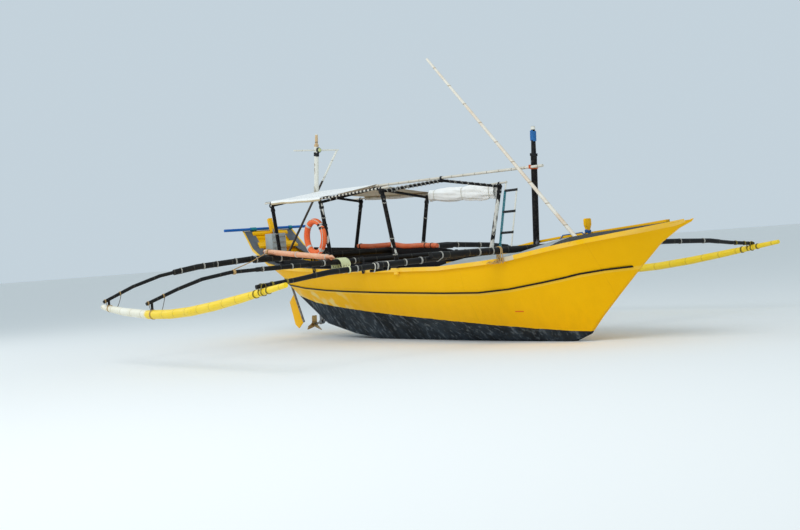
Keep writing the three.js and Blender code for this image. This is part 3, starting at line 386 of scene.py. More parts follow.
class Coat:
    """A material as it is built up: its shader, its nodes, and the Object coordinates that its patterns read.

    A colour is another node's output, linear RGBA or an sRGB hex value. A mask is an output from 0 to 1.
    """

    def __init__(self, name, roughness=0.6, metallic=0.0, specular=0.5, **shader):
        self.material = bpy.data.materials.new(name)
        self.material.use_nodes = True
        self.tree = self.material.node_tree
        self.tree.nodes.clear()
        self.node("BsdfPrincipled", inputs={
            "Roughness": roughness, "Metallic": metallic, "Specular IOR Level": specular, **shader})
        self.surface = self.tree.nodes[0]
        self.node("OutputMaterial", self.surface.outputs["BSDF"])
        self.place = self.node("TexCoord", output="Object")
        self.node("SeparateXYZ", self.place)
        self.x, self.y, self.z = self.axes = self.tree.nodes[-1].outputs

    def node(self, kind, *values, inputs=None, output=0, points=(), **settings):
        """Adds a node with its settings and links, and gives one output. Values go to its first inputs."""
        node = self.tree.nodes.new("ShaderNode" + kind)
        for key, value in settings.items():
            setattr(node, key, value)
        for key, value in [*enumerate(values), *(inputs or {}).items()]:
            if isinstance(value, bpy.types.NodeSocket):
                self.tree.links.new(value, node.inputs[key])
            else:
                node.inputs[key].default_value = linear(value) if isinstance(value, str) else value
        if points:
            curve = node.mapping.curves[0]
            while len(curve.points) < len(points):
                curve.points.new(0.5, 0.5)
            for point, place in zip(curve.points, points):
                point.location, point.handle_type = place, "VECTOR"
            node.mapping.update()
        return node.outputs[output] if node.outputs else None

    def stained(self, base, mask, share, shade):
        """The base colour, with a share of the shade where the mask is 1."""
        amount = self.node("Math", mask, share, operation="MULTIPLY")
        return self.node("Mix", inputs={0: amount, 6: base, 7: shade}, output=2, data_type="RGBA")

    def patches(self, scale, low, high, detail=4.0, stretch=(1, 1, 1)):
        """Soft-edged blotches: 0 below the first level of a cloud, 1 above the second."""
        spread = self.node("Mapping", inputs={"Vector": self.place, "Scale": stretch})
        cloud = self.node("TexNoise", inputs={
            "Vector": spread, "Scale": scale, "Detail": detail, "Roughness": 0.6})
        return self.node("MapRange", cloud, low, high)

    def grain(self, scale, detail, stretch=(1, 1, 1)):
        """Fine cloudy grain."""
        spread = self.node("Mapping", inputs={"Vector": self.place, "Scale": stretch})
        return self.node("TexNoise", inputs={"Vector": spread, "Scale": scale, "Detail": detail})

    def joints(self, value, half_gap, wide, narrow):
        """Rings that come back every two half gaps and fade out between the two widths."""
        return self.node("MapRange", self.node("Math", value, half_gap, operation="PINGPONG"), wide, narrow)

    def within(self, *ranges):
        """1 where every value lies between its two levels. Ranges: value, low, high."""
        mask = 1.0
        for value, low, high in ranges:
            for level, side in ((low, "GREATER_THAN"), (high, "LESS_THAN")):
                here = self.node("Math", value, level, operation=side)
                mask = self.node("Math", mask, here, operation="MULTIPLY")
        return mask

    def finished(self, base, relief, depth, roughness=None):
        """Links the colour, a relief with a real depth in metres and, if there is one, the roughness."""
        bump = self.node("Bump", inputs={"Height": relief, "Distance": depth})
        for key, output in (("Base Color", base), ("Normal", bump), ("Roughness", roughness)):
            if output is not None:
                self.tree.links.new(output, self.surface.inputs[key])
        return self.material


# Farther than any place on the boat
FAR = 9.0
# Half the height of the bottom paint's edge, and of the dark line, along the hull in shares of 12 m from x = -6
BOTTOM_EDGE = (
    (0.0, 0.42), (0.19, 0.40), (0.25, 0.332), (0.316, 0.294), (0.379, 0.2625), (0.475, 0.22),
    (0.6, 0.1685), (0.6417, 0.1485), (0.6833, 0.127), (0.7208, 0.107), (0.75, 0.093), (0.775, 0.082),
    (0.8, 0.075), (1.0, 0.07))
DARK_LINE = (
    (0.0, 0.94), (0.132, 0.67), (0.17, 0.5825), (0.19, 0.505), (0.25, 0.4725), (0.316, 0.4475),
    (0.379, 0.4325), (0.475, 0.415), (0.6, 0.3975), (0.667, 0.3925), (0.717, 0.41), (0.767, 0.4475),
    (0.795, 0.4725), (0.816, 0.495), (0.848, 0.515), (0.879, 0.526), (0.918, 0.54), (1.0, 0.56))


def enamelled_plywood():
    """Marine plywood brushed with enamel: sheet joints, runs, a scuffed black bottom and a pale band."""
    # Thick brushed enamel gives a soft gloss over slightly uneven sheets, chalky where sun and sand have been.
    coat = Coat("enamel on marine plywood", 0.42, specular=0.08)
    shades = palette()
    along = coat.node("MapRange", coat.x, -6.0, 6.0)
    edge = coat.node("FloatCurve", inputs={"Value": along}, points=BOTTOM_EDGE)
    line = coat.node("FloatCurve", inputs={"Value": along}, points=DARK_LINE)
    level = coat.node("Math", coat.grain(9.0, 3.0), 0.02, coat.z, operation="MULTIPLY_ADD")
    height = coat.node("Math", edge, 2.0, 0.01, operation="MULTIPLY_ADD")
    painted = coat.node("Math", level, height, operation="GREATER_THAN")

    # Sun-bleached and rain-streaked enamel, darker in patches lower down
    streak = coat.patches(3.2, 0.42, 0.72, 6.0, (2.2, 2.2, 0.35))
    yellow = coat.stained(shades.hull_yellow, streak, 0.09, "#dfa400")
    yellow = coat.stained(yellow, coat.patches(0.9, 0.35, 0.7, 3.0), 0.18, "#ffc800")
    low_down = coat.node("MapRange", coat.z, 1.0, 0.35)
    darker_low = coat.patches(5.0, 0.4, 0.8, 7.0, (1.6, 1.6, 0.5))
    darker_low = coat.node("Math", low_down, darker_low, operation="MULTIPLY")
    yellow = coat.stained(yellow, darker_low, 0.25, "#cf9a08")

    # Repainted pale patches low on the quarter
    aft, low = coat.node("MapRange", coat.x, -1.3, -2.2), coat.node("MapRange", coat.z, 0.93, 0.84)
    quarter = coat.node("Math", aft, low, operation="MULTIPLY")
    repainted = coat.node("Math", quarter, coat.patches(1.7, 0.44, 0.5, 2.0), operation="MULTIPLY")
    yellow = coat.stained(yellow, repainted, 0.75, "#ead68a")

    # Pale band just under the dark line
    height = coat.node("Math", line, 2.0, operation="MULTIPLY")
    under = coat.node("Math", height, coat.z, operation="SUBTRACT")
    yellow = coat.stained(yellow, coat.within((under, 0.0, 0.045)), 0.3, "#ffdc62")

    # Sheet joints: plywood is 2.44 m long; the filled joint is drawn 8 mm wide so that it shows
    sheet = coat.node("Math", coat.node("Math", coat.x, 0.75, operation="ADD"), 1.22, operation="PINGPONG")
    joint = coat.node("Math", sheet, 0.004, operation="LESS_THAN")
    yellow = coat.stained(yellow, joint, 0.10, "#9a6c0a")

    # A short orange mark low on the starboard bow
    mark = coat.within((coat.x, 2.50, 2.66), (coat.z, 0.468, 0.488), (coat.y, -FAR, -0.2))
    yellow = coat.stained(yellow, mark, 0.85, "#e0561e")

    # Bottom paint, scoured by shingle and streaked downwards by rain
    scour = coat.patches(3.0, 0.40, 0.75, 6.0, (1.0, 1.0, 0.5))
    bottom = coat.stained(shades.bottom_black, scour, 0.55, shades.scuff_grey)
    bottom = coat.stained(bottom, coat.patches(5.0, 0.52, 0.70, 5.0, (2.6, 2.6, 0.22)), 0.45, "#8b949b")
    gloss = coat.node("Math", painted, -0.34, 0.78, operation="MULTIPLY_ADD")
    gloss = coat.node("Math", streak, 0.14, gloss, operation="MULTIPLY_ADD")
    relief = coat.node("Math", joint, -0.4, coat.grain(26.0, 4.0), operation="MULTIPLY_ADD")
    return coat.finished(coat.stained(bottom, painted, 1.0, yellow), relief, 0.0022, gloss)


def brushed_enamel(name, shade, roughness, worn, wear, pale="#ffffff", repaired=False):
    """Gloss enamel brushed on timber and chipped to the primer. A repaired rail has a primed patch to starboard."""
    # Brush marks catch the light and chips are matt. The marks are a few millimetres apart, and are drawn
    # about 20 mm wide so that they show.
    coat = Coat(name, roughness, specular=0.15)
    base = coat.stained(shade, coat.patches(2.4, 0.35, 0.75, 4.0), 0.12, pale)
    chips = coat.patches(13.0, 0.66, 0.72, 5.0)
    base = coat.stained(base, chips, wear, worn)
    if repaired:
        base = coat.stained(base, coat.within((coat.x, 2.70, 2.90), (coat.y, -FAR, 0.0)), 0.8, "#cfcabb")
    relief = coat.node("Math", chips, -0.8, coat.grain(45.0, 3.0), operation="MULTIPLY_ADD")
    matt = coat.node("Math", chips, 0.35, roughness, operation="MULTIPLY_ADD")
    return coat.finished(base, relief, 0.0016, matt)


def deck_paint(name, shade, worn, painted_shade_from=FAR):
    """Flat deck paint on plywood, walked pale in the middle, gritty, and near-black forward of a given x as painted
    shade.
    """
    # Sand in the paint gives a dull grain, and feet leave paler lanes. Grit of 2 mm is drawn 5 mm wide to show.
    coat = Coat(name, 0.78)
    lanes = coat.patches(2.6, 0.4, 0.68, 7.0, (0.6, 1.6, 1.0))
    grit = coat.grain(180.0, 2.0)
    # Near-black forward of the given x is painted shade, for the shadow on the foredeck between the rails.
    ragged = coat.node("Math", lanes, 0.05, coat.x, operation="MULTIPLY_ADD")
    dark = coat.node("Math", ragged, painted_shade_from, operation="GREATER_THAN")
    base = coat.stained(coat.stained(shade, lanes, 0.5, worn), dark, 1.0, "#2b2c29")
    return coat.finished(coat.stained(base, grit, 0.25, "#2c2e30"), grit, 0.002)


def bamboo_cane(name, shade, axis, joint_gap, stain, stain_share, roughness=0.45, joint="#3a2f22",
                specular=0.4):
    """A bamboo cane: joints at even gaps along its axis, fine grain between them, stains and worn places."""
    # Bamboo skin is hard and waxy, with a lengthwise grain; each joint is a raised dark ring about 20 mm wide.
    coat = Coat(name, roughness, specular=specular)
    ring = coat.joints(coat.axes[axis], joint_gap / 2, 0.011, 0.003)
    grain = coat.grain(2.2, 4.0, [2.0 if k == axis else 38.0 for k in range(3)])
    base = coat.stained(shade, grain, 0.35, stain)
    base = coat.stained(base, coat.patches(3.0, 0.45, 0.7, 6.0), stain_share, stain)
    relief = coat.node("Math", ring, 1.5, grain, operation="MULTIPLY_ADD")
    return coat.finished(coat.stained(base, ring, 0.7, joint), relief, 0.003)


def peeling_pole(name, shade, under, start, far_leg=False):
    """A painted pole, its paint or wrapping peeled in patches; with far_leg, most of all on a hoop's port leg."""
    # Peeled edges are sharp and flaky, a few centimetres across, longer up and down than round.
    coat = Coat(name, 0.5, specular=0.12)
    tall = (1.0, 1.0, 0.4)
    flakes = coat.patches(9.0, start, start + 0.03, 7.0, tall)
    if far_leg:
        outside = coat.node("MapRange", coat.y, 0.7, 0.8)
        leg = coat.node("Math", outside, coat.within((coat.z, -FAR, 2.40)), operation="MULTIPLY")
        flakes = coat.node("Math", flakes, leg, operation="MULTIPLY")
        flakes = coat.node("Math", flakes, coat.patches(9.0, 0.60, 0.63, 7.0, tall), operation="MAXIMUM")
    base = coat.stained(shade, flakes, 1.0, under)
    base = coat.stained(base, coat.patches(30.0, 0.45, 0.8, 4.0), 0.25, "#6a6257")
    return coat.finished(base, flakes, 0.002, coat.node("Math", flakes, 0.2, 0.42, operation="MULTIPLY_ADD"))


def brace_paint():
    """Long bamboo brace: white paint on its upper half, dark bare cane below."""
    # Enamel on waxy cane wears off in a ragged edge; the joints stand proud under the paint.
    coat = Coat("bamboo brace, upper half white", 0.5)
    ragged = coat.grain(14.0, 4.0)
    edge = coat.node("Math", ragged, 0.12, coat.z, operation="MULTIPLY_ADD")
    upper = coat.node("Math", edge, 2.99, operation="GREATER_THAN")
    ring = coat.joints(coat.z, 0.15, 0.01, 0.003)
    base = coat.stained(coat.stained("#241f1b", ragged, 1.0, "#574b3c"), upper, 1.0, palette().bone_white)
    relief = coat.node("Math", ring, 1.5, ragged, operation="MULTIPLY_ADD")
    return coat.finished(coat.stained(base, ring, 0.5, "#5c4f40"), relief, 0.002)


def laid_rope(name, shade, diameter, dirt_and_groove_shade="#5c5346"):
    """Three-strand rope: slanting strands, fuzzy and dull, with painted shade in the grooves."""
    # The strands slant about one rope's thickness apart; drawn on Object coordinates as a diagonal wave.
    coat = Coat(name, 0.88)
    slant = coat.node("Mapping", inputs={"Vector": coat.place, "Rotation": (0.6, 0.5, 0.7)})
    strand = coat.node("TexWave", slant, 0.32 / diameter, 1.5, 1.0, output=1)
    # The grooves between strands are painted darker as shade, and the same colour lies in patches as dirt.
    base = coat.stained(shade, strand, 0.35, dirt_and_groove_shade)
    return coat.finished(coat.stained(base, coat.patches(6.0, 0.45, 0.8, 4.0), 0.3, dirt_and_groove_shade), strand, 0.0015)


def woven_tarpaulin():
    """Woven tarpaulin, white outside and tan inside, dirty in patches."""
    # A coated weave of flat tapes gives a faint square grain and a slight sheen.
    # The tapes are 3 mm wide, and are drawn 12 mm wide so that they show.
    coat = Coat("woven tarpaulin", 0.55, **{"Sheen Weight": 0.15})
    shades = palette()
    facing = coat.node("Attribute", output="Fac", attribute_name="outer_face")
    cloud = coat.patches(2.2, 0.42, 0.75, 6.0)
    outer = coat.stained(shades.canvas, cloud, 0.22, "#ddd7c6")
    outer = coat.stained(outer, coat.patches(11.0, 0.62, 0.7, 5.0), 0.2, "#a79c84")
    # The tan inner side is partly its own colour and partly painted light, lightened as if light came through the
    # sheet.
    inner = coat.stained(shades.canvas_inside_and_painted_light, cloud, 0.4, "#a58a5c")
    warp, weft = (coat.node("TexWave", coat.place, 26.0, output=1, bands_direction=way) for way in "XY")
    weave = coat.node("Math", warp, weft, operation="ADD")
    relief = coat.node("Math", weave, 0.12, coat.grain(5.0, 6.0), operation="MULTIPLY_ADD")
    return coat.finished(coat.stained(inner, facing, 1.0, outer), relief, 0.006)


def foam(name, shade, faded, share):
    """Closed-cell foam float, bleached on top, pitted and cracked by the sun."""
    # Foam is matt and soft-edged, and bleaches where it faces up. Pits of a few millimetres are drawn about
    # 10 mm wide so that they show.
    coat = Coat(name, 0.85, **{"Subsurface Weight": 0.05})
    up = coat.node("SeparateXYZ", coat.node("NewGeometry", output="Normal"), output=2)
    cloud = coat.patches(5.0, 0.3, 0.7, 5.0)
    bleach = coat.node("Math", coat.node("MapRange", up, -0.6, 0.7), cloud, operation="ADD")
    pits = coat.patches(34.0, 0.62, 0.7, 3.0)
    base = coat.stained(coat.stained(shade, bleach, share * 0.5, faded), pits, 0.5, "#9c4a2a")
    return coat.finished(base, coat.node("Math", pits, -1.0, cloud, operation="MULTIPLY_ADD"), 0.003)


def metal(name, shade, stain, roughness, share=0.5):
    """Bare metal dulled by salt water."""
    # Worked metal keeps its shine only on high spots; salt leaves matt crusts some 20 mm across.
    coat = Coat(name, roughness, 0.9)
    crust = coat.patches(18.0, 0.45, 0.65, 6.0)
    base = coat.stained(shade, crust, share, stain)
    matt = coat.node("Math", crust, 0.35, roughness, operation="MULTIPLY_ADD")
    return coat.finished(base, crust, 0.0008, matt)


def bare_boards():
    """Unpainted floor boards of tropical hardwood, 140 mm wide with open joints."""
    # Grain runs fore and aft; boards are grey-brown from wet feet, and their joints are 6 mm wide.
    coat = Coat("bare hardwood boards", 0.8)
    grain = coat.grain(1.6, 5.0, (2.0, 40.0, 40.0))
    board = coat.node("Math", coat.y, 0.07, operation="PINGPONG")
    joint = coat.node("Math", board, 0.003, operation="LESS_THAN")
    base = coat.stained(coat.stained("#8b7658", grain, 1.0, "#5b4a36"), joint, 1.0, "#221c16")
    return coat.finished(base, coat.node("Math", joint, -2.0, grain, operation="MULTIPLY_ADD"), 0.002)


def float_paint():
    """Bamboo float painted yellow, its after part primed white and worn."""
    # Paint chips off the raised joints first, down to brown cane; joints are 0.38 m apart.
    coat = Coat("painted bamboo float", 0.5)
    ragged = coat.node("Math", coat.grain(7.0, 2.0), 0.35, coat.x, operation="MULTIPLY_ADD")
    primed = coat.node("MapRange", ragged, -0.75, -0.85)
    cloud = coat.patches(3.0, 0.4, 0.7, 5.0)
    yellow = coat.stained(palette().float_yellow, cloud, 0.35, "#ffe15a")
    bare = coat.stained("#f2eedd", cloud, 0.5, "#d9c88f")
    ring = coat.joints(coat.x, 0.19, 0.012, 0.003)
    worn = coat.node("Math", ring, coat.patches(16.0, 0.64, 0.7, 5.0), operation="MAXIMUM")
    base = coat.stained(coat.stained(yellow, primed, 1.0, bare), worn, 0.4, "#a5842c")
    return coat.finished(base, coat.node("Math", ring, 1.5, cloud, operation="MULTIPLY_ADD"), 0.004)


def ladder_paint():
    """White-painted poles with black rungs."""
    # Brushed enamel, chipped to weathered timber where hands and feet go.
    coat = Coat("white poles and black rungs", 0.5)
    on_rung = 0.0
    for rung in LADDER_RUNGS:
        near = coat.within((coat.z, rung - RUNG_RADIUS, rung + RUNG_RADIUS))
        on_rung = coat.node("Math", on_rung, near, operation="MAXIMUM")
    chips = coat.patches(20.0, 0.6, 0.66, 5.0)
    white = coat.stained(palette().bone_white, chips, 0.6, "#6b655c")
    dark = coat.stained(palette().line_black, chips, 0.5, "#77716a")
    return coat.finished(coat.stained(white, on_rung, 1.0, dark), chips, 0.0015)


def lamp_case():
    """Moulded dark plastic lamp with a pale green lens on its bow side."""
    # Moulded plastic is smooth and glossy; the lens has ribs 10 mm apart.
    coat = Coat("moulded lamp case and lens", 0.25)
    lens = coat.node("Math", coat.x, -3.387, operation="GREATER_THAN")
    ribs = coat.node("TexWave", coat.place, 30.0, output=1, bands_direction="Z")
    return coat.finished(coat.stained("#2d2f2c", lens, 1.0, "#c9cf8c"), ribs, 0.001)


def make_finishes():
    """Every finish by name."""
    shades = palette()
    black, white = shades.line_black, shades.bone_white
    return {
        "hull": enamelled_plywood(),
        # The rails' brighter yellow is partly a painted highlight.
        "rail": brushed_enamel("enamel on rub rail", shades.rail_yellow_and_highlight, 0.36, "#b98c1a", 0.3, repaired=True),
        "line": brushed_enamel("black enamel line", black, 0.5, "#8a6a14", 0.3, "#2c2c2e"),
        "coaming": brushed_enamel("black paint on washboards", black, 0.62, "#77766f", 0.25, "#3c3d40"),
        "deck": deck_paint("grey deck paint", shades.deck_grey, "#83878a"),
        # From x = 3.56 forward the foredeck is painted near-black as painted shade.
        "foredeck": deck_paint("pale deck paint, painted shade at the bow", shades.deck_pale, "#c4c6c1",
                               painted_shade_from=3.56),
        "box": brushed_enamel("grey paint on boxes", shades.deck_pale, 0.6, "#6e716e", 0.5, "#dfe2e0"),
        "yellow": brushed_enamel("yellow enamel on timber", shades.hull_yellow, 0.45, "#7c6a3c", 0.45,
                                 "#ffd84a"),
        "boards": bare_boards(),
        "engine": brushed_enamel("green engine enamel", "#3f5548", 0.45, "#5d4632", 0.7, "#6f8576"),
        "steel": metal("salt-dulled steel", "#7d8082", "#5a4436", 0.35),
        "bronze": metal("cast bronze", "#a98752", "#5f7d6a", 0.32, 0.35),
        "boom": bamboo_cane("black-painted bamboo, across", black, 1, 0.36, "#33332d", 0.25, 0.42, "#4a483f",
                            specular=0.15),
        "cane_along": bamboo_cane("bleached bamboo, fore and aft", shades.bamboo, 0, 0.30, "#b3a68a", 0.4,
                                  0.5, "#7a705e"),
        "cane_tip": bamboo_cane("bare bamboo mast tip", "#d8b98c", 2, 0.28, "#b08a5a", 0.4),
        "cane_up": bamboo_cane("bleached bamboo, upright", white, 2, 0.34, "#d9b995", 0.7, 0.5, "#a98c66"),
        "dark_up": bamboo_cane("dark bamboo, upright", "#3a342c", 2, 0.32, "#6d604c", 0.5),
        "float": float_paint(),
        "hoop": peeling_pole("black poles, white wrapping peeled", black, "#d8d5cc", 0.60),
        "hoop_fore": peeling_pole("white wrapping peeled to black", black, "#e3e0d6", 0.51, far_leg=True),
        "mast": peeling_pole("black enamelled mast", black, "#77787c", 0.63),
        "white_pole": peeling_pole("white enamelled pole", white, "#a99a83", 0.62),
        "brace": brace_paint(),
        "tarp": woven_tarpaulin(),
        "roll_near": foam("bleached foam float", "#de8652", "#f2c3a2", 1.0),
        "roll_far": foam("orange foam float", shades.foam_orange, shades.foam_faded, 0.8),
        "ring": foam("orange ring cover", shades.foam_orange, "#f68a50", 0.6),
        "band": brushed_enamel("reflective band", "#c9c6c0", 0.3, "#8a8781", 0.4),
        "ladder": ladder_paint(),
        "lamp": lamp_case(),
        "pipe": brushed_enamel("blue plastic pipe", shades.pipe_blue, 0.35, "#7fb2dd", 0.25, "#5d9ad6"),
        "rope_white": laid_rope("white nylon cord", shades.rope_white, 0.011),
        "rope_grey": laid_rope("weathered nylon cord", "#b3b1a8", 0.008),
        "rope_tan": laid_rope("hemp rope", shades.rope_tan, 0.014),
        "rope_teal": laid_rope("teal polypropylene rope", shades.rope_teal, 0.012, "#0d5a66"),
        "rope_blue": laid_rope("blue polypropylene rope", shades.rope_blue, 0.016, "#123a66"),
        "rope_olive": laid_rope("weathered olive cord", "#8f7d2c", 0.01, "#33301c"),
        "rope_black": laid_rope("black rubber strip", black, 0.01, "#3c3c40"),
        "rope_orange": laid_rope("orange rope", "#d9622a", 0.012, "#8a3a18"),
        "rope_pale": laid_rope("green and cream fishing line", "#dfe0b4", 0.01, "#9daa6c"),
        "cloth_blue": brushed_enamel("blue rag", "#2d6fae", 0.9, "#7fa9d0", 0.3),
    }


# The solid parts that each finish covers
FINISH_OF = {
    "hull": "hull_shell",
    "rail": "rub_rail_starboard rub_rail_port",
    "line": "stripe_batten_starboard stripe_batten_port",
    "deck": "side_deck_starboard side_deck_port",
    "foredeck": "foredeck",
    "coaming": "washboard_starboard washboard_port",
    "yellow": "bulkhead_aft bulkhead_fore rudder_blade tiller_head king_plank stern_bar_fore stern_bar_aft "
              "thwart_aft thwart_fore bollard",
    "boards": "floor_boards",
    "engine": "engine_block",
    "box": "engine_cover helm_box",
    "steel": "propeller_shaft shaft_bracket rudder_stock",
    "bronze": "propeller",
    "boom": "spar_aft spar_mid spar_fore arm_aft_starboard arm_aft_port arm_mid_starboard arm_mid_port "
            "arm_fore_starboard arm_fore_port",
    "float": "float_starboard float_port",
    "hoop": "hoop_aft hoop_mid",
    "hoop_fore": "hoop_fore",
    "cane_along": "ridge_pole eave_pole_starboard eave_pole_port",
    "tarp": "roof_tarp gathered_tarp",
    "mast": "fore_mast",
    "white_pole": "aft_mast",
    "brace": "mast_brace",
    "lamp": "mast_lamp",
    "cane_up": "leaning_pole",
    "pipe": "stern_pole",
    "ladder": "ladder",
    "ring": "life_ring",
    "roll_near": "foam_roll_starboard",
    "roll_far": "foam_roll_port",
}
# Sawn pieces, by how much their edges are eased
EASED_EDGES = {
    0.004: "washboard_starboard washboard_port rudder_blade king_plank",
    0.005: "thwart_aft thwart_fore stern_bar_fore stern_bar_aft bollard tiller_head",
    0.006: "helm_box engine_cover",
}
FINISH = {}


class CANOE_OT_finishes(bpy.types.Operator):
    """Gives every solid part its finish, smooth round surfaces and eased edges"""

    bl_idname = "canoe.finishes"
    bl_label = "Finishes"

    def execute(self, context):
        FINISH.update(make_finishes())
        covers = {name: FINISH[finish] for finish, names in FINISH_OF.items() for name in names.split()}
        eased = {name: width for width, names in EASED_EDGES.items() for name in names.split()}
        for name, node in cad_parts.items():
            node.data.materials.clear()
            node.data.materials.append(covers[name])
            for face in node.data.polygons:
                face.use_smooth = True
            node.modifiers.new("Weld", "WELD").merge_threshold = 0.00005
            if name in eased:
                ease = node.modifiers.new("Eased edges", "BEVEL")
                ease.width, ease.segments = eased[name], 2
            node.modifiers.new("Crisp edges", "EDGE_SPLIT").split_angle = math.radians(32)
        return {"FINISHED"}


# Boom ties of each boom, in rows of side and distances from the centreline
TIES = {
    "aft": ((-1, (1.20, 1.62, 2.10, 2.44, 2.80, 3.05, 3.47)), (1, (1.25, 1.80, 2.35, 2.90, 3.40))),
    "mid": ((-1, (1.15, 1.75, 2.30, 2.84)), (1, (1.20, 1.90, 2.60, 3.40))),
    "fore": ((-1, (1.00, 1.25, 1.93, 2.22, 2.49, 2.97, 3.30)), (1, (1.10, 1.65, 2.10, 2.58, 3.04, 3.60))),
}


class CANOE_OT_boom_ties(bpy.types.Operator):
    """Cord wound round the booms where spar and arm lie side by side, and round the arms alone"""

    bl_idname = "canoe.boom_ties"
    bl_label = "Boom ties"

    def execute(self, context):
        sizes = context.scene.canoe_sizes
        for name, rows in TIES.items():
            coils = []
            for side, distances in rows:
                for k, distance in enumerate(distances):
                    poles = boom_poles(BOOMS[name], side, distance)
                    coils.append(wrap(poles, ACROSS, sizes.tie_cord, sizes.tie_turns + (k % 2)))
            settle(f"boom_ties_{name}", "rope_grey", "dark_bamboo", *coils)
        return {"FINISHED"}


class CANOE_OT_hull_lashings(bpy.types.Operator):
    """Rope that holds each boom down to the rail's lower edge"""

    bl_idname = "canoe.hull_lashings"
    bl_label = "Hull lashings"

    def execute(self, context):
        cord = context.scene.canoe_sizes.lashing_cord
        # Each turn closes on itself, round the spar above and round the rail's lower edge
        closed, rail_edge, waist_radius = 0.0001, 0.004, 0.016
        for name, boom in BOOMS.items():
            fore = name == "fore"
            loops = []
            x, height, radius, _ = boom["spar"]
            sheer_z, sheer_y = at(SHEER, x)
            for _, side in SIDES:
                for k, spread in enumerate((0.05, -0.055, 0.02) if fore else (0.012, -0.012, 0.02)):
                    y = side * (sheer_y + RAIL_PROUD + cord * (0.6 + 0.9 * k))
                    poles = [((x, y, height), radius), ((x + spread, y, sheer_z - RAIL_LOW), rail_edge)]
                    loops.append(wrap(poles, ACROSS, cord, 1, closed, 22))
                waist = Vector((x, side * (sheer_y + RAIL_PROUD + 2 * cord), (height - radius + sheer_z) / 2))
                loops.append(wrap([(waist, waist_radius)], (0, 0.3, 1), cord, 3))
            if fore:
                loops += self.strands()
            settle(f"hull_lashing_{name}", "rope_tan" if fore else "rope_black", "dark_bamboo", *loops)
        return {"FINISHED"}

    def strands(self):
        """Slack strands drawn aft along the rail's outer face. Rows: drop below the sheer, end, waver."""
        start, steps, clear, radius = 2.70, 12, 0.006, 0.005
        loose = []
        for drop, end, waver in ((-0.018, 2.40, 0.010), (-0.034, 2.36, 0.014), (-0.046, 2.47, 0.008)):
            strand = []
            for k in range(steps + 1):
                x = start + (end - start) * k / steps
                sheer_z, sheer_y = at(SHEER, x)
                strand.append((x, -(sheer_y + RAIL_PROUD + clear), sheer_z + drop + waver * math.sin(k * 1.3)))
            loose.append(rod(strand, radius, 6))
        return loose


class CANOE_OT_float_gear(bpy.types.Operator):
    """Lashings and thin hoops that hold the floats under the arms"""

    bl_idname = "canoe.float_gear"
    bl_label = "Float gear"

    def execute(self, context):
        thin = context.scene.canoe_sizes.thin_cord
        cane, clear = 0.005, 0.006
        canes, binding, tape = [], [], []
        for _, side in SIDES:
            for boom in (BOOMS["aft"], BOOMS["mid"]):
                x = boom["x"]
                float_z, float_r = at(FLOAT_LINE, x)
                for shift in (0.06, -0.20):
                    # A split cane hangs from the arm's fore side and bends in under the float
                    y = side * (FLOAT_Y + shift)
                    arm_z, arm_r = at(boom["arm"], abs(y))
                    reach = x + arm_r + clear
                    hanging = [(reach, y, arm_z + 0.03), (reach, y, arm_z - 0.03),
                               (reach + clear, side * (FLOAT_Y + shift * 0.7), float_z + float_r * 0.8),
                               (reach, side * (FLOAT_Y + shift * 0.3), float_z - float_r - 0.004)]
                    canes.append(rod(rounded(hanging, 0.03), cane, 6))
                    binding.append(wrap([((x, y, arm_z), arm_r)], ACROSS, thin, 3))
                binding.append(wrap([((x + 0.035, side * FLOAT_Y, float_z), float_r)], ALONG, thin, 4))
            boom = BOOMS["fore"]
            x, y = boom["x"], side * FLOAT_Y
            float_z, float_r = at(FLOAT_LINE, x)
            arm_z, arm_r = at(boom["arm"], FLOAT_Y)
            for shift in (-0.17, 0.16):
                z, r = at(FLOAT_LINE, x + shift)
                tape.append(wrap([((x + shift, y, z), r)], ALONG, thin, 4))
            for shift in (-0.036, 0.036):
                hold = [((x + shift, y, float_z), float_r), ((x + shift, y, arm_z), arm_r)]
                tape.append(wrap(hold, ALONG, thin, 3))
            for distance in (4.40, 4.62):
                tape.append(wrap(boom_poles(boom, side, distance), ACROSS, thin, 4))
        settle("float_hoops", "dark_up", "dark_bamboo", *canes)
        settle("float_bindings", "rope_tan", "dark_bamboo", *binding)
        settle("float_lashings_fore", "rope_olive", "dark_bamboo", *tape)
        return {"FINISHED"}


# Pale cord on the hoops' legs: hoop, side and heights
LEG_CORDS = (("mid", -1, (1.50, 2.16)), ("aft", -1, (1.55, 1.98)), ("mid", 1, (1.62, 2.05)),
             ("fore", -1, (1.45, 1.71, 2.28)))


class CANOE_OT_post_wraps(bpy.types.Operator):
    """Cord round the canopy's corners, legs and crowns"""

    bl_idname = "canoe.post_wraps"
    bl_label = "Post wraps"

    def execute(self, context):
        thin = context.scene.canoe_sizes.thin_cord
        from_end = 0.085
        dark, pale = [], []
        for name, (_, _, x, shoulder, top) in HOOPS.items():
            for _, side in SIDES:
                lean = hoop_point(name, side, top) - hoop_point(name, side, 1.5)
                for height, turns in ((top - from_end, 6), (at(SHEER, x)[0] + from_end, 5)):
                    dark.append(wrap([(hoop_point(name, side, height), POST_RADIUS)], lean, thin, turns))
                if name != "mid":
                    corner = Vector((x - 0.012, side * shoulder, top))
                    eave = corner + Vector((0, 0, KNUCKLE_RADIUS + EAVE_RADIUS))
                    dark.append(wrap([(corner, KNUCKLE_RADIUS), (eave, EAVE_RADIUS)], ALONG, thin, 5))
            if name == "fore":
                hold = [(crown_point(x), CROWN_RADIUS), (ridge_point(x), RIDGE_RADIUS)]
                dark.append(wrap(hold, (1, 0.25, 0), thin, 6))
        for hoop, side, heights in LEG_CORDS:
            lean = hoop_point(hoop, side, 2.3) - hoop_point(hoop, side, 1.4)
            for height in heights:
                pale.append(wrap([(hoop_point(hoop, side, height), POST_RADIUS)], lean, thin, 2))
        settle("corner_bindings", "rope_black", "black_pole", *dark)
        settle("post_bindings", "rope_grey", "black_pole", *pale)
        return {"FINISHED"}


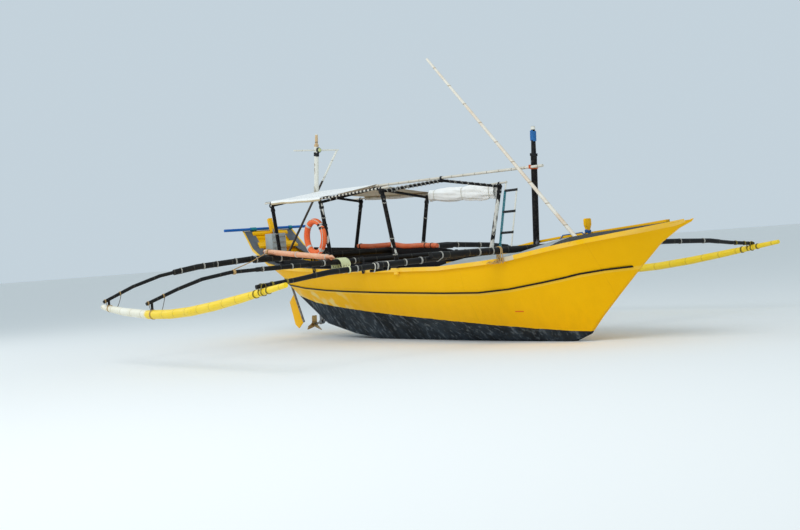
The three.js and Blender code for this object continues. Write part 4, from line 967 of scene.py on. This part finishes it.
class CANOE_OT_eave_spiral(bpy.types.Operator):
    """Dark strip wound in bands round the near eave pole, and pale cord round the crown of the fore hoop"""

    bl_idname = "canoe.eave_spiral"
    bl_label = "Eave spiral"

    def execute(self, context):
        thin = context.scene.canoe_sizes.thin_cord
        # Bands of strip come back every 115 mm, each 58 mm long, with thinner ends
        gap, band, reach = 0.115, 0.058, EAVE_RADIUS + 0.002
        strips = []
        ends = [Vector((x, -shoulder, top + KNUCKLE_RADIUS + EAVE_RADIUS))
                for _, _, x, shoulder, top in HOOPS.values()]
        for start, end in zip(ends, ends[1:]):
            run = (end - start).length
            for k in range(1, int(run / gap)):
                low, high = (start.lerp(end, (k * gap + shift) / run) for shift in (0.0, band))
                strips.append(rod([low, low.lerp(high, 0.04), low.lerp(high, 0.96), high], reach, 10,
                                  radii=[reach * 0.9, reach, reach, reach * 0.9]))
        # A sleeve of the same strip covers the pole's aft end
        lean = (ends[1] - ends[0]) / (ends[1].x - ends[0].x)
        reach = EAVE_RADIUS + 0.0015
        sleeve = [ends[0] + lean * (x - ends[0].x) for x in (-3.8345, -3.832, -3.62, -3.60)]
        strips.append(rod(sleeve, reach, 10, radii=[reach * 0.8, reach, reach, reach * 0.93]))
        settle("eave_spiral", "rope_black", "pale_bamboo", *strips)

        _, _, x, shoulder, top = HOOPS["fore"]
        bands = []
        for side, pitch, cord in ((-1, 0.085, thin * 1.8), (1, 0.13, thin)):
            run = crown_point(x) - Vector((x, side * shoulder, top))
            middle = crown_point(x) - run / 2
            bands.append(wrap([(middle, CROWN_RADIUS)], run, cord, int(run.length / pitch) - 1, pitch))
        settle("crown_spiral", "rope_grey", "black_pole", *bands)
        return {"FINISHED"}


class CANOE_OT_mast_fittings(bpy.types.Operator):
    """Collar, rag, tip and lashings of the masts"""

    bl_idname = "canoe.mast_fittings"
    bl_label = "Mast fittings"

    def execute(self, context):
        def fore(z):
            return mast_point(FORE_MAST, FORE_MAST_Y, z)

        lean = fore(3.0) - fore(2.0)
        radius, top_radius = MAST_RADIUS["fore"], MAST_RADIUS["fore_top"]
        settle("fore_mast_collar", "rope_black", "black_pole", wrap([(fore(2.79), radius)], lean, 0.014, 3))
        ridge = ridge_point(2.527)
        hold = [(fore(ridge.z), radius), (ridge, RIDGE_RADIUS)]
        settle("fore_mast_lashing", "rope_orange", "black_pole", wrap(hold, lean, 0.012, 5))
        rag = wrap([(fore(3.07), top_radius)], lean, 0.018, 9, 0.0165)
        settle("fore_mast_rag", "cloth_blue", "black_pole", rag)
        tip = rod([fore(3.165), fore(3.19), fore(3.212)], 0.0325, 12)
        settle("fore_mast_tip", "white_pole", "white_pole", tip)

        (foot_x, _), _ = AFT_MAST

        def aft(z):
            return mast_point(AFT_MAST, ridge_point(foot_x).y, z)

        radius = MAST_RADIUS["aft"]
        binding = wrap([(aft(3.415), radius)], aft(3.5) - aft(3.3), 0.012, 6)
        settle("aft_mast_lashing", "rope_black", "white_pole", binding)
        cap = rod([aft(z) for z in (3.604, 3.62, 3.77, 3.789)], 0.0275, 12,
                  radii=[0.0275, 0.0285, 0.0255, 0.018])
        band = rod([aft(z) for z in (3.558, 3.561, 3.599, 3.603)], 0.043, 16,
                   radii=[0.0415, 0.0432, 0.0432, 0.030])
        settle("aft_mast_tip", "cane_tip", "pale_bamboo", cap, band)
        stays = [wrap([(aft(low), radius), (ridge_point(x), RIDGE_RADIUS)], (1, 0, 0.2), 0.010, 4)
                 for x, low in ((-3.612, 2.74), (-3.60, 2.80))]
        settle("aft_mast_foot_lashing", "rope_white", "white_pole", *stays)
        return {"FINISHED"}


class CANOE_OT_roof_tarp(bpy.types.Operator):
    """Tarpaulin stretched over the ridge and eaves, sagging between them"""

    bl_idname = "canoe.roof_tarp"
    bl_label = "Roof tarpaulin"

    def execute(self, context):
        start, end = TARP_ENDS
        aft, mid = HOOPS["aft"][2:], HOOPS["mid"][2:]
        # From the ridge out, nine tenths of each half lie on the roof, and the rest hangs as a hem. The sheet
        # lies a little clear of the ridge and the eaves, and bellies out a little below them.
        on_roof, hem, sag, belly = 0.9, 0.066, 0.020, 0.006
        over_ridge, over_eave, past_eave, thick = 0.003, 0.008, 0.010, 0.0024
        select_only()
        bpy.ops.mesh.primitive_grid_add(x_subdivisions=60, y_subdivisions=84, size=2)
        obj = bpy.context.object
        for vertex in obj.data.vertices:
            u, v = (vertex.co.x + 1) / 2, vertex.co.y
            x = start + (end - start) * u
            t = (x - aft[0]) / (mid[0] - aft[0])
            _, shoulder, top = (a + (b - a) * t for a, b in zip(aft, mid))
            half = shoulder + POST_RADIUS + past_eave
            eave = top + KNUCKLE_RADIUS + 2 * EAVE_RADIUS + over_eave
            ridge = ridge_point(x)
            crest = ridge.z + RIDGE_RADIUS + over_ridge
            side = -1 if v < 0 else 1
            share = abs(v) / on_roof
            if share <= 1:
                y = ridge.y * (1 - share) + side * half * share
                slack = sag * math.sin(math.pi * share) * (0.55 + 0.45 * math.sin(math.pi * u))
                z = crest + (eave - crest) * share - slack
            else:
                hang = (share - 1) / (1 / on_roof - 1)
                y = side * (half + belly * math.sin(hang * math.pi))
                z = eave - hem * hang
            wave = noise.noise(Vector((x * 1.3, y * 4.5, side * 3.0))) * 0.008
            pull = math.sin(x * 9.0 + y * 2.0) * 0.0025 * share
            vertex.co = (x, y, z + (wave + pull) * min(1.0, 4 * share))
        thicken(obj, thick, lined=True)
        settle("roof_tarpaulin", "tarp", "tarpaulin", obj, stands_for=("roof_tarp",))
        return {"FINISHED"}


class CANOE_OT_gathered_tarp(bpy.types.Operator):
    """Tarpaulin furled in folds round the far eave pole and tied to it"""

    bl_idname = "canoe.gathered_tarp"
    bl_label = "Gathered tarpaulin"

    def execute(self, context):
        low_x, high_x = -1.570, 0.186
        # The bundle's top and underside, in rows of x and two heights
        rows = ((-1.575, 2.560, 2.330), (-1.1, 2.562, 2.290), (-0.5, 2.556, 2.262), (0.0, 2.545, 2.240),
                (0.19, 2.535, 2.236))
        thick, winding = 0.058, 2 * math.pi * 1.06
        ties = (-1.42, -0.66, 0.06)
        _, _, mid_x, mid_shoulder, _ = HOOPS["mid"]
        _, _, fore_x, fore_shoulder, _ = HOOPS["fore"]

        def section(x):
            """The bundle's middle at x, as y and z, and its half-height."""
            high, low = at(rows, x)
            shoulder = mid_shoulder + (fore_shoulder - mid_shoulder) * (x - mid_x) / (fore_x - mid_x)
            return shoulder, (high + low) / 2, (high - low) / 2

        select_only()
        bpy.ops.mesh.primitive_grid_add(x_subdivisions=150, y_subdivisions=110, size=2)
        obj = bpy.context.object
        for vertex in obj.data.vertices:
            u, v = (vertex.co.x + 1) / 2, (vertex.co.y + 1) / 2
            x = low_x + (high_x - low_x) * u
            shoulder, middle, half = section(x)
            pinch = min(abs(x - tie) for tie in ties)
            full = 0.80 + 0.20 * min(1.0, pinch / 0.16) ** 0.7
            angle = winding * v + 0.5
            drift = 1.6 * noise.noise(Vector((x * 1.6, 0.0, 4.0)))
            ripple = math.sin(angle * 6 + drift * 2 + x * 2.0) * 0.055 + math.sin(angle * 11 - x * 7.0) * 0.03
            lump = 0.10 * noise.noise(Vector((x * 6.0, math.cos(angle) * 1.4, math.sin(angle) * 1.4)))
            grow = (0.90 + ripple + lump) * full * (1 - 0.05 * v)
            vertex.co = (x, shoulder + thick * grow * math.cos(angle), middle + half * grow * math.sin(angle))
        thicken(obj, 0.002, lined=False)
        settle("gathered_tarpaulin", "tarp", "tarpaulin", obj, stands_for=("gathered_tarp",))
        cords, bulge = [], 0.046
        for x in ties:
            shoulder, middle, half = section(x)
            lift = half * 0.74 - bulge
            hold = [((x, shoulder, middle + lift), bulge), ((x, shoulder, middle - lift), bulge)]
            cords.append(wrap(hold, ALONG, 0.005, 2, 0.012, 24))
        settle("gathered_tarp_ties", "rope_white", "tarpaulin", *cords)
        return {"FINISHED"}


class CANOE_OT_foam_rolls(bpy.types.Operator):
    """Foam floats: one on the far washboard, one laid across two booms, both tied at their ends"""

    bl_idname = "canoe.foam_rolls"
    bl_label = "Foam rolls"

    def execute(self, context):
        # Each float is a little thinner than its solid, and squeezed at its last two rings
        full = ROLL_RADIUS * 0.985
        squeeze = (0.82, 0.94)
        for name, shares, foam_name, tie_name in (("starboard", (0.06, 0.5, 0.94), "roll_near", "rope_white"),
                                                  ("port", (0.04, 0.45, 0.86, 0.93), "roll_far", "rope_black")):
            path = rounded(ROLLS[name], 0.03)
            last = len(path) - 1
            radii = []
            for k, point in enumerate(path):
                from_end = min(k, last - k)
                narrow = squeeze[from_end] if from_end < len(squeeze) else 1.0
                radii.append(full * narrow * (1 - 0.06 * max(0.0, noise.noise(point * 3.1))))
            roll = settle(f"foam_float_{name}", foam_name, "orange_foam", rod(path, full, 20, radii=radii),
                          stands_for=(f"foam_roll_{name}",))
            ties = []
            for share in shares:
                k = round(share * last)
                ties.append(wrap([(path[k], full * 0.98)], path[min(k + 1, last)] - path[k - 1], 0.008, 3))
            settle(f"foam_ties_{name}", tie_name, "orange_foam", *ties)
        return {"FINISHED"}


def ring_point(angle, reach=RING_RADIUS, out=0.0):
    """A point round the life ring's centre, out of its plane by a distance."""
    return RING_CENTRE + Vector((math.cos(angle) * reach, out, math.sin(angle) * reach))


class CANOE_OT_life_ring(bpy.types.Operator):
    """Life ring with its bands, grab line and lashing to the post"""

    bl_idname = "canoe.life_ring"
    bl_label = "Life ring"

    def execute(self, context):
        around = 72
        path = [ring_point(2 * math.pi * k / around) for k in range(around)]
        ring = settle("life_ring_cover", "ring", "orange_foam", rod(path, RING_TUBE - 0.001, 20, closed=True),
                      stands_for=("life_ring",))

        first_band = math.radians(40)
        radii = [RING_TUBE - 0.004] + [RING_TUBE + 0.0012] * 5 + [RING_TUBE - 0.004]
        bands = []
        for quarter in range(4):
            middle = first_band + math.radians(90 * quarter)
            arc = [ring_point(middle + math.radians(d)) for d in (-5.5, -5.2, -2.5, 0, 2.5, 5.2, 5.5)]
            bands.append(rod(arc, RING_TUBE, 20, radii=radii))
        settle("life_ring_bands", "band", "orange_foam", *bands)

        # The grab line lies on the ring's outer shoulder, and comes in where it is slack between the bands
        shoulder = RING_TUBE * 0.75
        line, steps = [], 96
        for k in range(steps + 1):
            angle = 2 * math.pi * k / steps
            slack = 0.030 * math.sin(2 * (angle - first_band)) ** 2
            line.append(ring_point(angle, RING_RADIUS + shoulder - slack * 0.3, -shoulder - slack * 0.25))
        settle("life_ring_line", "rope_white", "orange_foam", rod(line, 0.005, 6))

        coils = []
        for height in (1.98, 2.035):
            near = ring_point(math.asin((height - RING_CENTRE.z) / RING_RADIUS))
            hold = [(hoop_point("mid", -1, height), POST_RADIUS), ((near.x, near.y, height), RING_TUBE)]
            coils.append(wrap(hold, UP, 0.010, 4))
        settle("life_ring_lashing", "rope_black", "orange_foam", *coils)
        return {"FINISHED"}


class CANOE_OT_ladder_wrap(bpy.types.Operator):
    """Teal rope wound up the ladder's after rail, with its two lines to the deck"""

    bl_idname = "canoe.ladder_wrap"
    bl_label = "Ladder wrapping"

    def execute(self, context):
        aft_rail, fore_rail = LADDER_RAILS
        pitch = 0.013

        def rail(x, z):
            return Vector((x, hoop_point("fore", 1, z).y, z))

        low, high = rail(aft_rail, 1.27), rail(aft_rail, 2.37)
        run = high - low
        coil = wrap([(low + run / 2, 0.0143)], run, 0.010, int(run.length / pitch), pitch, 10)
        settle("ladder_wrapping", "rope_teal", "white_pole", coil)
        knot_x, knot_y = 1.42, 0.70
        knot = Vector((knot_x, knot_y, top_of(knot_x, knot_y, "foredeck") + 0.02))
        lines = []
        for start in (rail(aft_rail, 1.45), rail(fore_rail, 1.40)):
            lines.append(rod([start, start.lerp(knot, 0.5) - Vector((0, 0, 0.012)), knot], 0.006, 6))
        lines.append(wrap([(knot, 0.012)], (1, -0.3, 0), 0.012, 4))
        settle("ladder_lines", "rope_teal", "white_pole", *lines)
        return {"FINISHED"}


class CANOE_OT_mooring_line(bpy.types.Operator):
    """Blue mooring line hitched to the bollard and laid back along the foredeck"""

    bl_idname = "canoe.mooring_line"
    bl_label = "Mooring line"

    def execute(self, context):
        rope = context.scene.canoe_sizes.mooring_rope
        half = rope / 2
        # The bollard stands at this x; its section is taken as four round corners
        post_x, half_x, half_y, corner = 3.63, 0.012, 0.018, 0.012

        def resting(x, y):
            """The height at which the line rests on what is under its whole width."""
            spots = [(0, 0), (half, half), (-half, half), (half, -half), (-half, -half)]
            return max(top_of(x + a, y + b, "foredeck", "king_plank") for a, b in spots) + half + 0.001

        hitch_z = top_of(post_x, 0.07, "foredeck") + 0.04
        corners = [((post_x + a, b, hitch_z), corner) for a in (-half_x, half_x) for b in (-half_y, half_y)]
        settle("mooring_hitch", "rope_blue", "blue_pipe", wrap(corners, UP, rope, 3))
        spots = ((3.575, 0.0), (3.47, 0.055), (3.34, 0.118), (3.16, 0.135), (3.02, 0.110), (2.93, 0.035),
                 (2.83, -0.05), (2.77, -0.16), (2.80, -0.27))
        path = rounded([Vector((x, y, 0)) for x, y in spots], 0.03)
        level = [resting(p.x, p.y) for p in path]
        last = len(level) - 1
        for _ in range(3):
            level = [max(h, (level[max(k - 1, 0)] + level[min(k + 1, last)]) / 2) for k, h in enumerate(level)]
        path = [Vector((p.x, p.y, z)) for p, z in zip(path, level)]
        line = settle("mooring_line", "rope_blue", "blue_pipe", rod(path, half, 8))
        return {"FINISHED"}


class CANOE_OT_side_ropes(bpy.types.Operator):
    """Rope hank over the middle boom, the near foam float's tie line and an offcut tied under the fore boom"""

    bl_idname = "canoe.side_ropes"
    bl_label = "Side ropes"

    def execute(self, context):
        self.rope_hank()
        self.float_tie_line()
        self.boom_offcut()
        return {"FINISHED"}

    def rope_hank(self):
        """A hank that hangs over the middle boom: every turn goes over both poles."""
        rope, turns, steps = 0.013, 13, 28
        wide, tall, first = 0.165, 0.112, -1.30
        path = []
        for k in range(turns * steps + 1):
            turn = k / steps
            angle = 2 * math.pi * k / steps + math.pi / 2
            low = max(0.0, -math.sin(angle))
            loose = 1 + low * (0.22 * math.sin(turn * 2.4) + 0.10 * math.sin(turn * 5.1))
            y = first - 0.014 * turn - 0.05 * low * math.sin(turn * 1.9)
            x, z = -0.778 + wide * loose * math.cos(angle), 1.340 + tall * loose * math.sin(angle)
            path.append(Vector((x, y, z)))
        hank = settle("rope_hank", "rope_pale", "pale_bamboo", rod(path, rope / 2, 8))

    def float_tie_line(self):
        """The tie from the near foam float's aft end across the aft boom to the middle boom's arm."""
        boom = BOOMS["mid"]
        distance, cord = 3.35, 0.012
        arm_z, arm_r = at(boom["arm"], distance)
        arm = Vector((boom["x"], -distance, arm_z))
        end, inner = (Vector(point) for point in ROLLS["starboard"][:2])
        start = inner.lerp(end, 0.35)
        head, shoulder = start + Vector((0, 0, ROLL_RADIUS)), start + Vector((0.004, -0.036, 0.030))
        leave = start + Vector((0.012, -ROLL_RADIUS - 0.004, -0.006))
        made_fast = arm + Vector((0, 0, arm_r + 0.006))
        slack = leave.lerp(made_fast, 0.5) - Vector((0, 0, 0.018))
        line = rod([head, shoulder, leave, slack, made_fast], 0.008, 8)
        round_float = wrap([(start, ROLL_RADIUS * 0.98)], end - inner, cord, 3)
        round_arm = wrap([(arm, arm_r)], ACROSS, cord, 4)
        settle("float_tie_line", "rope_tan", "pale_bamboo", line, round_float, round_arm)

    def boom_offcut(self):
        """A pale tie on the fore boom, and a short pole tied under it."""
        boom = BOOMS["fore"]
        tie = wrap(boom_poles(boom, -1, 3.43), ACROSS, 0.011, 2)
        settle("boom_tie_yellow", "rope_pale", "dark_bamboo", tie)
        thick, clear = 0.018, 0.0195

        def hold(distance):
            z, radius = at(boom["arm"], distance)
            return [(Vector((boom["x"], -distance, z)), radius),
                    (Vector((boom["x"], -distance, z - radius - clear)), thick)]

        offcut = rod([hold(distance)[1][0] for distance in (2.75, 3.08)], thick, 12)
        settle("boom_offcut", "boom", "dark_bamboo", offcut)
        ties = [wrap(hold(distance), ACROSS, 0.006, 3) for distance in (2.80, 3.02)]
        settle("boom_offcut_ties", "rope_white", "dark_bamboo", *ties)


class CANOE_OT_stern_gear(bpy.types.Operator):
    """Lashing of the stern pole and ribs of the helm box"""

    bl_idname = "canoe.stern_gear"
    bl_label = "Stern gear"

    def execute(self, context):
        low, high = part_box("stern_pole")
        centre_x, centre_z = (low.x + high.x) / 2, (low.z + high.z) / 2
        ties = [wrap([((centre_x, y, centre_z), 0.028)], ACROSS, 0.010, 7) for y in (-0.36, -0.30, 0.52)]
        settle("stern_pole_ties", "rope_teal", "blue_pipe", *ties)
        low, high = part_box("helm_box")
        rib, gap, inset = 0.045, 0.105, 0.02
        ribs = []
        for k in range(4):
            z = high.z - 0.07 - gap * k
            ribs.append(block((high.x + 0.0005, low.y + inset, z),
                              (high.x + 0.012, high.y - inset, z + rib), 0.003))
        settle("helm_box_ribs", "box", "pale_deck", *ribs)
        return {"FINISHED"}


class CANOE_OT_rail_cleats(bpy.types.Operator):
    """Small cleats under the rub rails"""

    bl_idname = "canoe.rail_cleats"
    bl_label = "Rail cleats"

    def execute(self, context):
        x, half_long, half_thick = 0.15, 0.05, 0.02
        sheer_z, sheer_y = at(SHEER, x)
        cleats = []
        for _, side in SIDES:
            y = side * (sheer_y + 0.014)
            cleats.append(block((x - half_long, y - half_thick, sheer_z - 0.085),
                                (x + half_long, y + half_thick, sheer_z - RAIL_LOW), 0.006))
        settle("rail_cleats", "rail", "hull_paint", *cleats)
        return {"FINISHED"}


# Soft lights: name, place, width in metres and watts
LIGHTS = (("key", (9, -13, 14), 9.0, 1400), ("fill", (-12, -10, 9), 10.0, 440))


class CANOE_OT_stage(bpy.types.Operator):
    """Pale floor, soft light and the photograph's camera"""

    bl_idname = "canoe.stage"
    bl_label = "Stage"

    def execute(self, context):
        context.scene.view_settings.view_transform = "Standard"
        select_only()
        bpy.ops.mesh.primitive_plane_add(size=800, location=(0, 0, -0.0005))
        floor = context.object
        floor.name = "floor"
        coat = Coat("pale floor", 0.9)
        coat.surface.inputs["Base Color"].default_value = linear("#f1f1ee")
        floor.data.materials.append(coat.material)

        world = bpy.data.worlds.new("soft sky")
        context.scene.world = world
        world.use_nodes = True
        back = next(n for n in world.node_tree.nodes if n.type == "BACKGROUND")
        back.inputs["Color"].default_value = linear("#d3e2ec")
        back.inputs["Strength"].default_value = 0.85
        for name, place, size, power in LIGHTS:
            light = bpy.data.lights.new(name, "AREA")
            light.energy, light.size = power, size
            lamp = bpy.data.objects.new(name, light)
            context.scene.collection.objects.link(lamp)
            lamp.location = place
            lamp.rotation_mode = "QUATERNION"
            lamp.rotation_quaternion = (Vector((0, 0, 1)) - Vector(place)).to_track_quat("-Z", "Y")

        camera = bpy.data.cameras.new("photograph view")
        camera.lens, camera.sensor_width = PHOTO_LENS, SENSOR_WIDTH
        camera.clip_end = 500
        seat = bpy.data.objects.new("photograph view", camera)
        context.scene.collection.objects.link(seat)
        forward = Vector(PHOTO_FORWARD).normalized()
        right = forward.cross(Vector(PHOTO_UP)).normalized()
        turn = Matrix((right, right.cross(forward), -forward)).transposed().to_4x4()
        seat.matrix_world = Matrix.Translation(PHOTO_EYE) @ turn
        context.scene.camera = seat
        return {"FINISHED"}


OPERATORS = (
    CANOE_OT_finishes,
    CANOE_OT_stage,
    CANOE_OT_boom_ties,
    CANOE_OT_hull_lashings,
    CANOE_OT_float_gear,
    CANOE_OT_post_wraps,
    CANOE_OT_eave_spiral,
    CANOE_OT_mast_fittings,
    CANOE_OT_roof_tarp,
    CANOE_OT_gathered_tarp,
    CANOE_OT_foam_rolls,
    CANOE_OT_life_ring,
    CANOE_OT_ladder_wrap,
    CANOE_OT_mooring_line,
    CANOE_OT_side_ropes,
    CANOE_OT_stern_gear,
    CANOE_OT_rail_cleats,
)


class CANOE_PT_sidebar(bpy.types.Panel):
    """The boat's steps, sizes and colours"""

    bl_idname = "CANOE_PT_sidebar"
    bl_label = "Outrigger canoe"
    bl_space_type = "VIEW_3D"
    bl_region_type = "UI"
    bl_category = "Canoe"

    def draw(self, context):
        for operator in OPERATORS:
            self.layout.operator(operator.bl_idname)
        for group in (context.scene.canoe_sizes, context.scene.canoe_colours):
            for name in group.__annotations__:
                self.layout.prop(group, name)


CLASSES = (CanoeColours, CanoeSizes, *OPERATORS, CANOE_PT_sidebar)


def register():
    for one in CLASSES:
        bpy.utils.register_class(one)
    bpy.types.Scene.canoe_colours = PointerProperty(type=CanoeColours)
    bpy.types.Scene.canoe_sizes = PointerProperty(type=CanoeSizes)


def unregister():
    del bpy.types.Scene.canoe_sizes
    del bpy.types.Scene.canoe_colours
    for one in reversed(CLASSES):
        bpy.utils.unregister_class(one)


def main():
    register()
    for operator in OPERATORS:
        group, name = operator.bl_idname.split(".")
        getattr(getattr(bpy.ops, group), name)()


if __name__ == "__main__":
    main()
